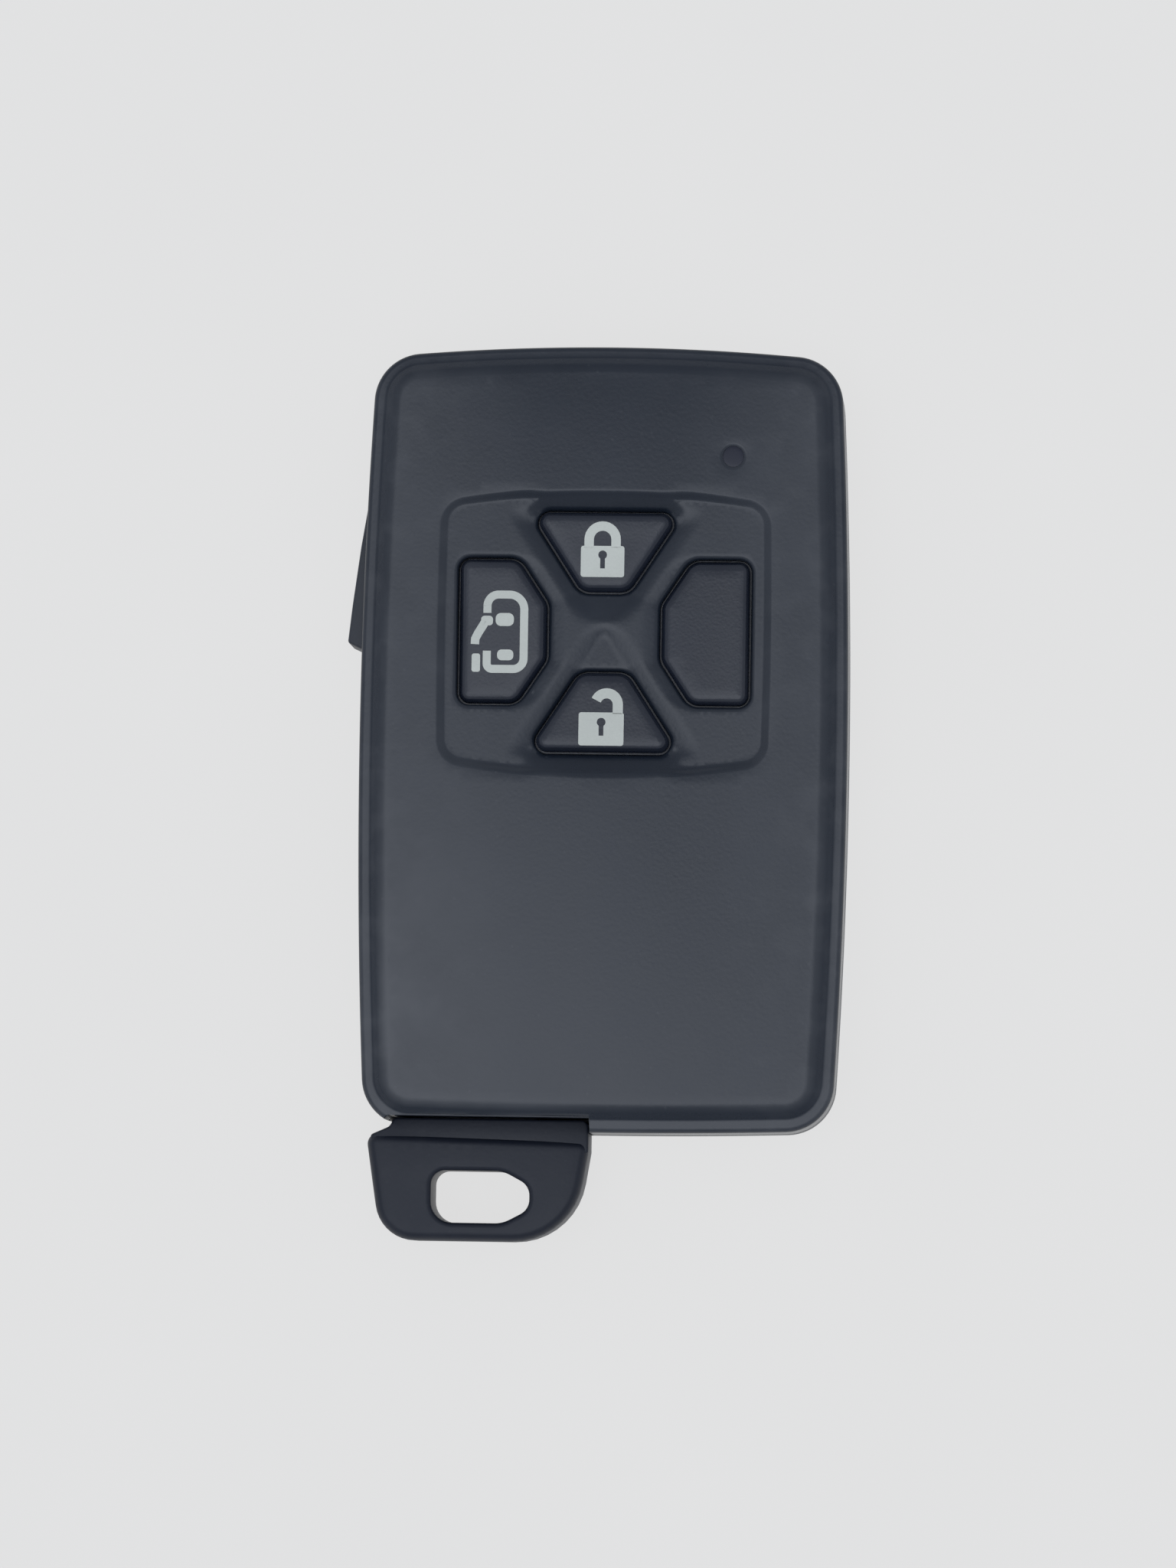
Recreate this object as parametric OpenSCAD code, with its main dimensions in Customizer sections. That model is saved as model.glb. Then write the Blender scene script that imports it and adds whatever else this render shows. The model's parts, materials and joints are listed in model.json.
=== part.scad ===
// Car key fob: a two-part case with three push buttons, a blanking plug, an indicator,
// a hinged release lever with its latch, and an emergency key that slides out of the lower end.
// Millimetres. The origin is the middle of the flat back face, +Y points to the indicator end,
// the emergency key leaves along -Y, and the buttons face +Z.

/* [Case] */
// Width across the bowed sides, without the lever
body_w = 41.4; // [39:0.1:44]
// Length of the case, without the key head
body_l = 66.7; // [64:0.1:72]
// Thickness from the back face to the top of the crown
body_t = 11.4; // [11:0.1:12.5]
// Outward bow of each long side
side_bow = 0.74; // [0.2:0.02:1.2]
// Outward bow of the indicator end
top_bow = 0.67; // [0.2:0.01:1.2]
// Outward bow of the key end
bottom_bow = 0.28; // [0.1:0.01:0.8]
// Plan radius of the four corners
corner_r = 4.2; // [3.6:0.1:5.5]
// Thickness of the side walls
wall = 1.3; // [1.1:0.05:1.6]
// Thickness of the back
floor_t = 1.2; // [1:0.05:1.5]
// Height of the joint line between the two covers
split_z = 5.0; // [4.8:0.1:5.4]
// Edge radius round the back face
back_r = 1.7; // [1:0.1:2.2]
// Height of the locating lip on the rear cover
lip_h = 0.8; // [0.5:0.1:1]

/* [Front face] */
// Width of the ledge that runs round the raised face
ledge_w = 1.2; // [1:0.05:1.6]
// Radius where the ledge rolls into the side wall
ledge_r = 0.8; // [0.4:0.05:1]
// Height of the raised face above the ledge
face_rise = 1.2; // [0.8:0.05:1.4]
// Width of the shoulder round the raised face
shoulder_w = 1.1; // [0.6:0.05:1.5]
// Height of the crown of the raised face
crown_h = 0.5; // [0.3:0.05:0.7]
// Width of the sunk panel round the buttons
panel_w = 27.6; // [26.5:0.1:29]
// Length of the sunk panel
panel_l = 23.9; // [23:0.1:26]
// Outward bow of the sunk panel's upper and lower edges
panel_bow = 0.9; // [0.3:0.05:1.2]
// Corner radius of the sunk panel
panel_r = 2.0; // [1:0.1:3]
// Depth of the sunk panel below the crown
panel_depth = 0.6; // [0.35:0.05:0.65]
// Thickness of the front wall under the sunk panel
front_t = 1.2; // [1.1:0.05:1.5]
// Distance from the indicator end to the middle of the button cross
cross_from_top = 24.45; // [24:0.05:26]

/* [Buttons] */
// Long edge of the upper and lower openings
fore_w = 12.5; // [11.5:0.1:13]
// Short edge of the upper and lower openings
fore_tip_w = 4.0; // [3.4:0.1:4.6]
// Height of the upper and lower openings
fore_h = 7.3; // [6.8:0.1:7.6]
// Distance from the middle of the cross to the upper and lower openings
fore_reach = 3.1; // [2.9:0.05:3.4]
// Width of the side openings
flank_w = 7.7; // [7.2:0.1:8.2]
// Height of the side openings
flank_h = 12.5; // [11.8:0.1:13]
// Height of the inner edge of the side openings
flank_tip_h = 4.8; // [4.2:0.1:5.4]
// Width of the sloped part of the side openings
flank_slope_w = 2.55; // [2.2:0.05:3]
// Distance from the middle of the cross to the side openings
flank_reach = 4.7; // [4.5:0.05:5]
// Radius of the outer corners of the openings
opening_r = 0.9; // [0.7:0.05:1.2]
// Radius of the inner corners of the upper and lower openings
fore_tip_r = 1.1; // [0.8:0.05:1.3]
// Radius of the inner corners of the side openings
flank_r = 1.6; // [1:0.1:2.2]
// Width of the sloped border round the upper and lower openings
border_w = 1.0; // [0.6:0.05:1.2]
// Depth of that border at the opening
border_depth = 0.25; // [0.1:0.05:0.3]
// Gap between a button and its opening
button_gap = 0.3; // [0.2:0.02:0.4]
// Bevel round the top of a button
button_bevel = 0.2; // [0.1:0.02:0.25]
// Height of the buttons above the sunk panel
button_proud = 0.5; // [0.2:0.05:0.55]
// Width of the flange that keeps a button in
flange_w = 0.6; // [0.4:0.05:0.7]
// Thickness of that flange
flange_t = 0.75; // [0.6:0.05:0.85]
// Push travel of a button
travel = 0.3; // [0.2:0.02:0.35]
// Diameter of the indicator lens
lens_d = 1.8; // [1.4:0.1:2.4]
// Distance of the indicator from the right side
lens_from_side = 10.0; // [9:0.1:11]
// Distance of the indicator from the indicator end
lens_from_top = 9.45; // [8.8:0.05:9.8]

/* [Emergency key] */
// Distance from the left side to the key's centre line
key_from_side = 10.4; // [10.2:0.1:11]
// Width of the key head
head_w = 19.25; // [18.6:0.05:19.6]
// Length of the key head below the case
head_l = 9.2; // [8.8:0.1:10.5]
// Thickness of the key head
head_t = 6.2; // [5.4:0.1:6.8]
// Gap between the case and the key head
head_gap = 0.55; // [0.4:0.05:0.8]
// Height of the ring hole
ring_hole_h = 4.4; // [4.2:0.05:4.7]
// Length of the ring hole
ring_hole_l = 8.25; // [7.8:0.05:8.6]
// Width of the collar that fills the notch in the case
collar_w = 16.9; // [16:0.1:17.4]
// Width of the blade
blade_w = 8.0; // [7:0.1:8.4]
// Thickness of the blade
blade_t = 2.0; // [1.8:0.05:2.2]
// Distance from the end of the case to the blade's tip
blade_reach = 48.4; // [46:0.1:49]
// Width of the milled groove along the blade
groove_w = 2.6; // [2:0.1:3.2]
// Depth of the milled groove
groove_depth = 0.5; // [0.3:0.05:0.7]

/* [Release lever] */
// Distance from the indicator end to the upper end of the lever
lever_from_top = 12.5; // [12:0.1:14]
// Length of the lever
lever_l = 12.9; // [12:0.1:13.4]
// How far the free end stands out of the side
lever_proud = 1.3; // [0.8:0.02:1.5]
// Height of the lever
lever_h = 5.0; // [4:0.1:5.2]
// Angle that the lever turns through when it is pressed
lever_press = 6; // [4:0.5:6]
// Diameter of the pivot pin
pin_d = 1.5; // [1.2:0.05:1.6]
// Outer diameter of the latch spring
spring_d = 2.5; // [2:0.1:2.6]
// Wire of the latch spring
spring_wire = 0.35; // [0.25:0.05:0.4]
// Turns of the latch spring
spring_turns = 3; // [2.5:0.25:3.25]

/* [Electronics] */
// Diameter of the coin cell
cell_d = 16; // [15:0.5:16.5]
// Thickness of the coin cell
cell_t = 3.2; // [3:0.1:3.4]
// Distance from the right side to the middle of the cell
cell_from_side = 13.2; // [12:0.1:13.5]
// Distance from the key end to the middle of the cell
cell_from_bottom = 18.4; // [16:0.1:22]
// Thickness of the circuit board
board_t = 0.8; // [0.6:0.05:0.9]
// Thickness of the carrier under the board
carrier_t = 1.0; // [0.8:0.05:1]
// Side of a push switch
switch_w = 4.5; // [3.6:0.1:4.8]
// Height of a push switch without its plunger
switch_h = 1.5; // [1.2:0.05:1.5]
// Diameter of a switch plunger
plunger_d = 2.2; // [1.6:0.1:2.6]
// Thickness of the rubber keypad
keypad_t = 0.4; // [0.3:0.05:0.4]

/* [Hidden] */
$fn = 48;
half_w = body_w / 2;
half_l = body_l / 2;
skin = 0.01;           // thickness of a slice inside a hull
over = 1;              // how far a cut runs past the face that it opens
touch = 0.02;          // clearance between parts that are fixed together
slip = 0.1;            // clearance between parts that slide on each other
loose = 0.2;           // clearance between parts that pass each other
side_steps = 12;       // straight steps along a long side
end_steps = 8;         // straight steps along an end
corner_steps = 9;      // straight steps round a corner
edge_steps = 5;        // slices in a rounded edge
fillet_steps = 6;      // straight steps round a corner of a button or of the key head
least_r = 0.4;         // smallest plan radius of an inset outline

// Heights of the front
ledge_z = body_t - crown_h - face_rise;
face_z = body_t - crown_h;
panel_z = body_t - panel_depth;
front_in_z = panel_z - front_t;
ledge_t = 1.3;         // thickness under the ledge
side_in_z = ledge_z - ledge_t;
side_draft = 0.12;     // lean of the side walls
face_inset = ledge_w + shoulder_w;
face_side = 2.1;       // width of the wall under the shoulder
face_wall = ledge_w + face_side;
spine_w = 8;           // width of the nearly level middle of the crown

// Heights of the inner stack
cell_gap = 0.15;       // room under the coin cell
cell_z = floor_t + cell_gap;
contact_room = 1.05;   // room for the contact over the cell
board_z = cell_z + cell_t + contact_room;
board_top = board_z + board_t;
carrier_z = board_z - carrier_t;
key_headroom = 0.3;    // room between the blade and the carrier
blade_top = carrier_z - key_headroom;
blade_z = blade_top - blade_t;
flange_top = front_in_z - slip;
flange_z = flange_top - flange_t;
press_gap = 0.05;      // play between a button and the keypad
keypad_top = flange_z - press_gap;
keypad_z = keypad_top - keypad_t;
button_top = panel_z + button_proud;

// Places in plan
cross_y = half_l - cross_from_top;
lens_at = [half_w - lens_from_side, half_l - lens_from_top];
cell_at = [half_w - cell_from_side, cell_from_bottom - half_l];
key_x = key_from_side - half_w;
fore_share = 0.56;     // share of a button's height where its switch stands
flank_share = 0.48;    // share of a button's width where its switch stands
fore_middle = fore_reach + fore_h * fore_share;
flank_middle = flank_reach + flank_w * flank_share;
lock_at = [0, cross_y + fore_middle];
unlock_at = [0, cross_y - fore_middle];
door_at = [-flank_middle, cross_y];

// Inner room, carrier and board
carrier_gap = 0.4;     // room round the carrier
bulkhead_t = 1.25;     // wall behind the key notch
rail_t = 0.5;          // thickness of the rails of the key channel
rail_gap = 0.15;       // room beside the blade
carrier_left = key_x - blade_w / 2 - rail_gap - rail_t - slip;
carrier_right = half_w - side_bow - wall - carrier_gap;
carrier_bottom = wall + bulkhead_t + carrier_gap - half_l;
carrier_top = half_l - wall - top_bow - carrier_gap;
board_margin = 0.35;   // how far the board stays inside the carrier's edge
carrier_r = max(corner_r - wall, least_r);

// Emergency key
head_top = -half_l - head_gap;
shank_wall = 0.5;      // plastic under the blade in the shank
shank_side = 1.0;      // plastic beside the blade in the shank
shank_l = 8;           // length of the shank inside the case
socket_l = 5;          // length of the blade held in the shank
collar_step = 0.45;    // how far the collar stands back from the head's two faces
head_z = blade_z - shank_wall - collar_step;
collar_inset = 1.15;   // how far the collar reaches into the case
collar_z = head_z + collar_step;
collar_t = head_t - 2 * collar_step;
collar_top = -half_l + collar_inset;
notch_y = collar_top + rail_gap;
notch_side = 1.2;      // wall beside the key notch
head_left = key_x - head_w / 2;
head_right = key_x + head_w / 2;
collar_in = 0.15;      // how far the collar stands back from the head's right side
collar_right = head_right - collar_in;
collar_left = collar_right - collar_w;
shank_w = blade_w + 2 * shank_side;
shank_z = blade_z - shank_wall;
shank_t = carrier_z - loose - shank_z;
shank_top = -half_l + shank_l;
rail_start = shank_top + 2 * loose;
blade_tip = blade_reach - half_l;

// Release lever and latch
lever_top = half_l - lever_from_top;
lever_end = lever_top - lever_l;
boss_h = 1.2;          // height of the lower seat of the pivot pin
lever_z = floor_t + boss_h + loose;
pivot_in = 3.1;        // distance of the pivot from the side line
pivot_from_end = 1.3;  // distance of the pivot from the lever's upper end
pivot = [-half_w + pivot_in, lever_top - pivot_from_end];
boss_wall = 0.9;       // plastic round the pivot pin
boss_r = pin_d / 2 + boss_wall;
pin_seat = 0.8;        // depth of the pin's upper seat
nose_from_end = 2.4;   // distance of the nose from the lever's free end
nose_y = lever_end + nose_from_end;
nose_w = 1.4;          // width of the nose that holds the latch plate
lever_t = 2.2;         // thickness of the lever inside the side line
lever_tuck = 0.75;     // how far the upper end lies inside the side line
lever_slant = 0.45;    // slant of the free end and of the nose's root
latch_w = 2.0;         // width of the latch plate
latch_arm = 2.6;       // reach of the latch plate past the blade's left edge
latch_heel = 2.3;      // reach of the latch plate past the blade's right edge
latch_left = key_x - blade_w / 2 - latch_arm;
latch_right = key_x + blade_w / 2 + latch_heel;
latch_z = floor_t + slip;
latch_head = 0.15;     // room between the latch plate and the carrier
latch_top = carrier_z - latch_head;
latch_swing = (pivot[1] - nose_y) * sin(lever_press);
rail_end = nose_y - latch_w;
tooth_h = 0.65;        // how far the tooth stands out of the fork
tooth_w = 1.0;         // width of the tooth
tooth_clear = 0.15;    // room between the tooth and the blade
notch_depth = 0.9;     // depth of the blade's notch
notch_w = 1.6;         // width of the blade's notch
spring_room = 3.4;     // length of the latch spring
spring_seat_t = 0.9;   // thickness of the spring's seat
spring_end = latch_right + spring_room;
spring_z = (latch_z + latch_top) / 2 + slip;

// Points along a bowed edge from a to b, moved outwards by r
function bowed(a, b, bow, r, steps) = [for (k = [0:steps])
    let (v = 2 * k / steps - 1, h = (b - a) / 2, out = [h[1], -h[0]] / norm(h),
        p = (a + b) / 2 + h * v + out * bow * (1 - v * v), t = h - out * 2 * bow * v)
    p + [t[1], -t[0]] / norm(t) * r];

// Points round a corner, without its two ends
function rounded(p, from, to, r) = [for (k = [1:corner_steps - 1])
    let (a = from + (to - from) * k / corner_steps) p + r * [cos(a), sin(a)]];

// Outline with round corners and edges that bow out at the sides, the top and the bottom
function bowed_outline(w, l, bow, bow_t, bow_b, r) =
    let (x = w - bow - r, t = l - bow_t - r, b = l - bow_b - r,
        lean = atan(4 * bow / (t + b)), lean_t = atan(2 * bow_t / x), lean_b = atan(2 * bow_b / x))
    concat(
        bowed([x, -b], [x, t], bow, r, side_steps),
        rounded([x, t], lean, 90 - lean_t, r),
        bowed([x, t], [-x, t], bow_t, r, end_steps),
        rounded([-x, t], 90 + lean_t, 180 - lean, r),
        bowed([-x, t], [-x, -b], bow, r, side_steps),
        rounded([-x, -b], 180 + lean, 270 - lean_b, r),
        bowed([-x, -b], [x, -b], bow_b, r, end_steps),
        rounded([x, -b], 270 + lean_b, 360 - lean, r));

// Plan outline of the case, moved inwards
function outline(inset) = bowed_outline(half_w - inset, half_l - inset, side_bow, top_bow, bottom_bow,
    max(corner_r - inset, least_r));

// Half width of the case at a place along its length
function side_x(y) = half_w - side_bow * pow(2 * y / body_l, 2);

// Slice of the case for a hull: [inset, z]
module slice(at) translate([0, 0, at[1]]) linear_extrude(skin) polygon(outline(at[0]));

// Straight-sided block with the plan of the case
module plan_block(inset, from, to) translate([0, 0, from])
    linear_extrude(to - from) polygon(outline(inset));

// Block between two corners
module block(low, high) translate(low) cube(high - low);

// Round post between two heights
module post(at, r, from, to) translate([at[0], at[1], from]) cylinder(r = r, h = to - from);

// Rectangle with round corners between two corners
module round_rect(low, high, r) union() {
    translate(low + [r, 0]) square(high - low - [2 * r, 0]);
    translate(low + [0, r]) square(high - low - [0, 2 * r]);
    for (x = [low[0] + r, high[0] - r], y = [low[1] + r, high[1] - r]) translate([x, y]) circle(r);
}

// Convex outline, given anticlockwise, with each corner rounded to its own radius, then moved outwards
function filleted(points, radii, grow) = [for (i = [0:len(points) - 1])
    let (n = len(points), p = points[i], a = points[(i + n - 1) % n] - p, b = points[(i + 1) % n] - p,
        u = a / norm(a), w = b / norm(b), turn = acos(u * w),
        middle = p + (u + w) / norm(u + w) * radii[i] / sin(turn / 2), start = atan2(u[0], -u[1]))
    for (k = [0:fillet_steps]) let (angle = start + (180 - turn) * k / fillet_steps)
        middle + (radii[i] + grow) * [cos(angle), sin(angle)]];

// Plan of the upper opening, with the middle of the cross as origin
fore_top = fore_reach + fore_h;
fore_corners = [[-fore_tip_w / 2, fore_reach], [fore_tip_w / 2, fore_reach],
    [fore_w / 2, fore_top], [-fore_w / 2, fore_top]];
fore_radii = [fore_tip_r, fore_tip_r, opening_r, opening_r];

// Plan of the left opening, with the middle of the cross as origin
flank_out = -flank_reach - flank_w;
flank_turn = -flank_reach - flank_slope_w;
flank_corners = [[flank_out, -flank_h / 2], [flank_turn, -flank_h / 2], [-flank_reach, -flank_tip_h / 2],
    [-flank_reach, flank_tip_h / 2], [flank_turn, flank_h / 2], [flank_out, flank_h / 2]];
flank_radii = [opening_r, flank_r, flank_r, flank_r, flank_r, opening_r];

module fore_plan(grow) translate([0, cross_y]) polygon(filleted(fore_corners, fore_radii, grow));
module flank_plan(grow) translate([0, cross_y]) polygon(filleted(flank_corners, flank_radii, grow));

// Mirrors its child about the middle of the cross
module to_lower() translate([0, 2 * cross_y, 0]) mirror([0, 1, 0]) children();
module to_right() mirror([1, 0, 0]) children();

// Wall behind the key notch, between two heights
module bulkhead(from, to) intersection() {
    plan_block(wall / 2, from, to);
    block([collar_left - notch_side, notch_y, from], [collar_right + notch_side, notch_y + bulkhead_t, to]);
}

// Room that the release lever needs in the side wall
lever_room = 1.2;
module lever_opening() block(
    [-half_w - 2 * over, lever_end - lever_room, lever_z - loose],
    [-half_w + wall + over, lever_top + lever_room / 2, lever_z + lever_h + loose]);

// Notch in the lower edge for the key's collar
module collar_notch(top) block(
    [collar_left - loose, -half_l - 2 * over, collar_z - loose], [collar_right + loose, notch_y, top]);

// Places of the snap hooks: [x, y, turn]
hook_y = 16;           // distance of the side hooks from the middle
hook_x = 9;            // distance of the end hooks from the middle
hook_end = half_l - top_bow * pow(hook_x / half_w, 2);
hooks = [[side_x(hook_y), -hook_y, 0], [side_x(hook_y), hook_y, 0], [-side_x(hook_y), -hook_y, 180],
    [hook_x, hook_end, 90], [-hook_x, hook_end, 90]];
hook_w = 4;            // width of a hook
hook_t = 0.6;          // thickness of a hook
hook_h = 1.9;          // height of a hook above the joint line
hook_root = 1;         // how far a hook reaches down inside the wall
barb = 0.35;           // how far the barb stands out
barb_h = 0.8;          // height of the barb

// Snap hook that points outwards along +X, standing on the lip
module snap_hook(grow) rotate([90, 0, 0]) translate([0, 0, -hook_w / 2 - grow])
    linear_extrude(hook_w + 2 * grow) polygon([
        [-wall - hook_t - slip, split_z - hook_root - grow], [-wall - slip, split_z - hook_root - grow],
        [-wall - slip, split_z + hook_h - barb_h - grow],
        [-wall - slip + barb + grow, split_z + hook_h - barb_h - grow],
        [-wall - slip, split_z + hook_h + grow], [-wall - hook_t - slip, split_z + hook_h + grow]]);

module at_hooks() for (h = hooks) translate([h[0], h[1], 0]) rotate(h[2]) children();

module front_shape() {
    hull() {
        slice([0, split_z]);
        for (k = [0:edge_steps]) let (a = 90 * k / edge_steps)
            slice([side_draft + ledge_r * (1 - cos(a)), ledge_z - ledge_r + (ledge_r - skin) * sin(a)]);
    }
    hull() {
        slice([ledge_w, split_z + lip_h + over]);
        for (k = [0:edge_steps]) let (a = 90 * k / edge_steps)
            slice([ledge_w + shoulder_w * (1 - cos(a)), ledge_z + face_rise * sin(a)]);
        for (k = [1:edge_steps]) let (v = k / edge_steps)
            slice([face_inset + (half_w - face_inset - spine_w / 2) * v * v,
                face_z + (crown_h - skin) * v * (2 - v)]);
    }
}

// Cut for the sloped border of the upper opening
module fore_border() hull() {
    translate([0, 0, panel_z - border_depth]) linear_extrude(skin) fore_plan(0);
    translate([0, 0, panel_z]) linear_extrude(skin) fore_plan(border_w);
}

panel_side_bow = 0.1;  // outward bow of the sunk panel's sides
post_r = 1.0;          // radius of the posts that hold the board down
post_in = 5;           // distance of the posts from the case's edges
post_drop = 2.5;       // distance of the lower posts below the sunk panel
post_y = cross_y - panel_l / 2 - post_drop;

module front_cover() color([0.25, 0.27, 0.30]) {
    post_left = carrier_left + board_margin + 2 * post_r;
    posts = [[post_left, half_l - post_in], [half_w - post_in, half_l - post_in],
        [half_w - post_in, post_y], [post_left, post_y]];
    difference() {
        front_shape();
        plan_block(wall - lip_t - slip, split_z - over, split_z + lip_h + slip);
        plan_block(wall, split_z, side_in_z);
        plan_block(face_wall, side_in_z - over, front_in_z);
        translate([0, cross_y, panel_z]) linear_extrude(body_t) polygon(
            bowed_outline(panel_w / 2, panel_l / 2, panel_side_bow, panel_bow, panel_bow, panel_r));
        translate([0, 0, front_in_z - over]) linear_extrude(body_t) {
            fore_plan(0);
            to_lower() fore_plan(0);
            flank_plan(0);
            to_right() flank_plan(0);
        }
        fore_border();
        to_lower() fore_border();
        post(lens_at, lens_d / 2 + touch, front_in_z - over, body_t + over);
        lever_opening();
        collar_notch(body_t + over);
        at_hooks() snap_hook(slip);
        post(pivot, pin_d / 2 + touch, side_in_z - over, side_in_z + pin_seat);
    }
    // Seat of the pivot pin
    difference() {
        post(pivot, boss_r, lever_z + lever_h + loose, side_in_z + skin);
        post(pivot, pin_d / 2 + touch, lever_z, side_in_z + pin_seat);
    }
    // Posts that hold the board down
    for (p = posts) post(p, post_r, board_top, front_in_z + skin);
    bulkhead(split_z + lip_h + loose, side_in_z + skin);
}

// Rail of the key channel: its inner face, start and end along the channel, and top
module rail(inner, start, end, top) for (s = [-1, 1]) block(
    [key_x + s * (inner + rail_t / 2) - rail_t / 2, start, floor_t - skin],
    [key_x + s * (inner + rail_t / 2) + rail_t / 2, end, top]);

lip_t = 0.55;          // thickness of the locating lip
ring_t = 0.9;          // thickness of the ring round the cell
ring_h = 1.2;          // height of the ring round the cell
rib_t = 0.8;           // thickness of the ribs under the carrier
channel_rib = 1.6;     // distance of the channel's floor ribs from the key's centre line
spring_seat_top = nose_y + spring_d / 2 + rib_t;

module rear_cover() color([0.23, 0.25, 0.28]) difference() {
    union() {
        difference() {
            hull() {
                slice([0, split_z - skin]);
                for (k = [0:edge_steps]) let (a = 90 * k / edge_steps)
                    slice([back_r * (1 - cos(a)), back_r * (1 - sin(a))]);
            }
            plan_block(wall, floor_t, split_z + over);
        }
        // Locating lip
        difference() {
            plan_block(wall - lip_t, split_z - hook_root, split_z + lip_h);
            plan_block(wall, split_z - hook_root - over, split_z + lip_h + over);
        }
        at_hooks() snap_hook(0);
        // Strip that joins the hooks to the wall
        at_hooks() block([-wall - hook_t - slip, -hook_w / 2, split_z - hook_root],
            [-wall + skin, hook_w / 2, split_z]);
        // Side rails and floor ribs of the key channel
        rail(blade_w / 2 + rail_gap, rail_start, rail_end, carrier_z);
        rail(channel_rib, rail_start, rail_end, blade_z - slip);
        rail(shank_w / 2 + rail_gap, notch_y + bulkhead_t - skin, rail_start + rail_t, carrier_z);
        // Ring round the coin cell
        difference() {
            post(cell_at, cell_d / 2 + ring_t, floor_t - skin, floor_t + ring_h);
            post(cell_at, cell_d / 2 + loose, floor_t - over, floor_t + ring_h + over);
            contact_slot();
        }
        // Ribs that carry the board carrier
        for (x = [0, carrier_right - 2 * rib_t]) block([x, spring_seat_top, floor_t - skin],
            [x + rib_t, carrier_top - carrier_r, carrier_z]);
        // Seat of the latch spring
        block([spring_end, nose_y - spring_d / 2, floor_t - skin],
            [spring_end + spring_seat_t, nose_y + spring_d / 2, latch_top]);
        // Seat of the pivot pin
        post(pivot, boss_r, floor_t - skin, lever_z - loose);
        bulkhead(floor_t - skin, split_z);
    }
    lever_opening();
    collar_notch(split_z + lip_h + over);
    // Slot for the key's shank
    block([key_x - shank_w / 2 - rail_gap, notch_y - over, shank_z - loose],
        [key_x + shank_w / 2 + rail_gap, notch_y + bulkhead_t + over, shank_z + shank_t + loose]);
    post(pivot, pin_d / 2 + touch, floor_t, lever_z);
}

// Button or plug: a flange under the front wall, a shaped body and its bevelled top
module keytop(low, flange_to, top) {
    translate([0, 0, low]) linear_extrude(flange_to - low) children(0);
    translate([0, 0, low]) linear_extrude(top - button_bevel - low) children(1);
    hull() {
        translate([0, 0, top - button_bevel - skin]) linear_extrude(skin) children(1);
        translate([0, 0, top - skin]) linear_extrude(skin) children(2);
    }
}

module fore_button() keytop(flange_z, flange_top, button_top) {
    fore_plan(flange_w);
    fore_plan(-button_gap);
    fore_plan(-button_gap - button_bevel);
}

module flank_button(flange_to, top) keytop(flange_z, flange_to, top) {
    flank_plan(flange_w);
    flank_plan(-button_gap);
    flank_plan(-button_gap - button_bevel);
}

blank_drop = 0.1;      // how far the plug stays below the buttons
lens_rise = 0.2;       // height of the lens above the edge of the face
lens_flange_w = 0.7;   // width of the flange under the lens
lens_flange_t = 0.6;   // thickness of that flange

module lock_button() color([0.24, 0.25, 0.29]) fore_button();
module unlock_button() color([0.24, 0.25, 0.29]) to_lower() fore_button();
module door_button() color([0.24, 0.25, 0.29]) flank_button(flange_top, button_top);
module blank_plug() color([0.24, 0.25, 0.29]) to_right() flank_button(front_in_z, button_top - blank_drop);

module indicator_lens() color([0.20, 0.21, 0.24]) {
    post(lens_at, lens_d / 2, front_in_z - lens_flange_t, face_z + lens_rise);
    post(lens_at, lens_d / 2 + lens_flange_w, front_in_z - lens_flange_t, front_in_z);
}

// Rubber sheet with a skirt that stands on the board
module keypad_membrane() color([0.10, 0.10, 0.11]) {
    keypad_lap = 0.4;
    skirt = 0.8;
    low = [-panel_w / 2 - keypad_lap, cross_y - panel_l / 2 - keypad_lap];
    high = -low + [0, 2 * cross_y];
    difference() {
        translate([0, 0, board_top]) linear_extrude(keypad_top - board_top) round_rect(low, high, panel_r);
        translate([0, 0, board_top - over]) linear_extrude(keypad_z - board_top + over)
            round_rect(low + [skirt, skirt], high - [skirt, skirt], panel_r - skirt / 2);
    }
}

module circuit_board() color([0.07, 0.30, 0.16]) translate([0, 0, board_z]) linear_extrude(board_t)
    round_rect([carrier_left + board_margin, carrier_bottom + board_margin],
        [carrier_right - board_margin, carrier_top - board_margin], carrier_r);

module board_carrier() color([0.16, 0.16, 0.17]) difference() {
    translate([0, 0, carrier_z]) linear_extrude(carrier_t)
        round_rect([carrier_left, carrier_bottom], [carrier_right, carrier_top], carrier_r);
    post(cell_at, cell_d / 2 + loose, carrier_z - over, board_z + over);
    contact_slot();
}

well_z = board_top + 0.5;

// Push switch with a well for its plunger
module push_switch(at) difference() {
    translate([at[0], at[1], board_top + switch_h / 2]) cube([switch_w, switch_w, switch_h], center = true);
    post(at, plunger_d / 2 + slip, well_z, board_top + switch_h + over);
}

module push_plunger(at) post(at, plunger_d / 2, well_z + travel + slip, keypad_z - touch);

module lock_switch() color([0.70, 0.71, 0.73]) push_switch(lock_at);
module unlock_switch() color([0.70, 0.71, 0.73]) push_switch(unlock_at);
module door_switch() color([0.70, 0.71, 0.73]) push_switch(door_at);
module lock_plunger() color([0.85, 0.80, 0.70]) push_plunger(lock_at);
module unlock_plunger() color([0.85, 0.80, 0.70]) push_plunger(unlock_at);
module door_plunger() color([0.85, 0.80, 0.70]) push_plunger(door_at);

// Block that stands on the board: middle in plan and size
module on_board(at, size) translate([at[0] - size[0] / 2, at[1] - size[1] / 2, board_top]) cube(size);

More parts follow.
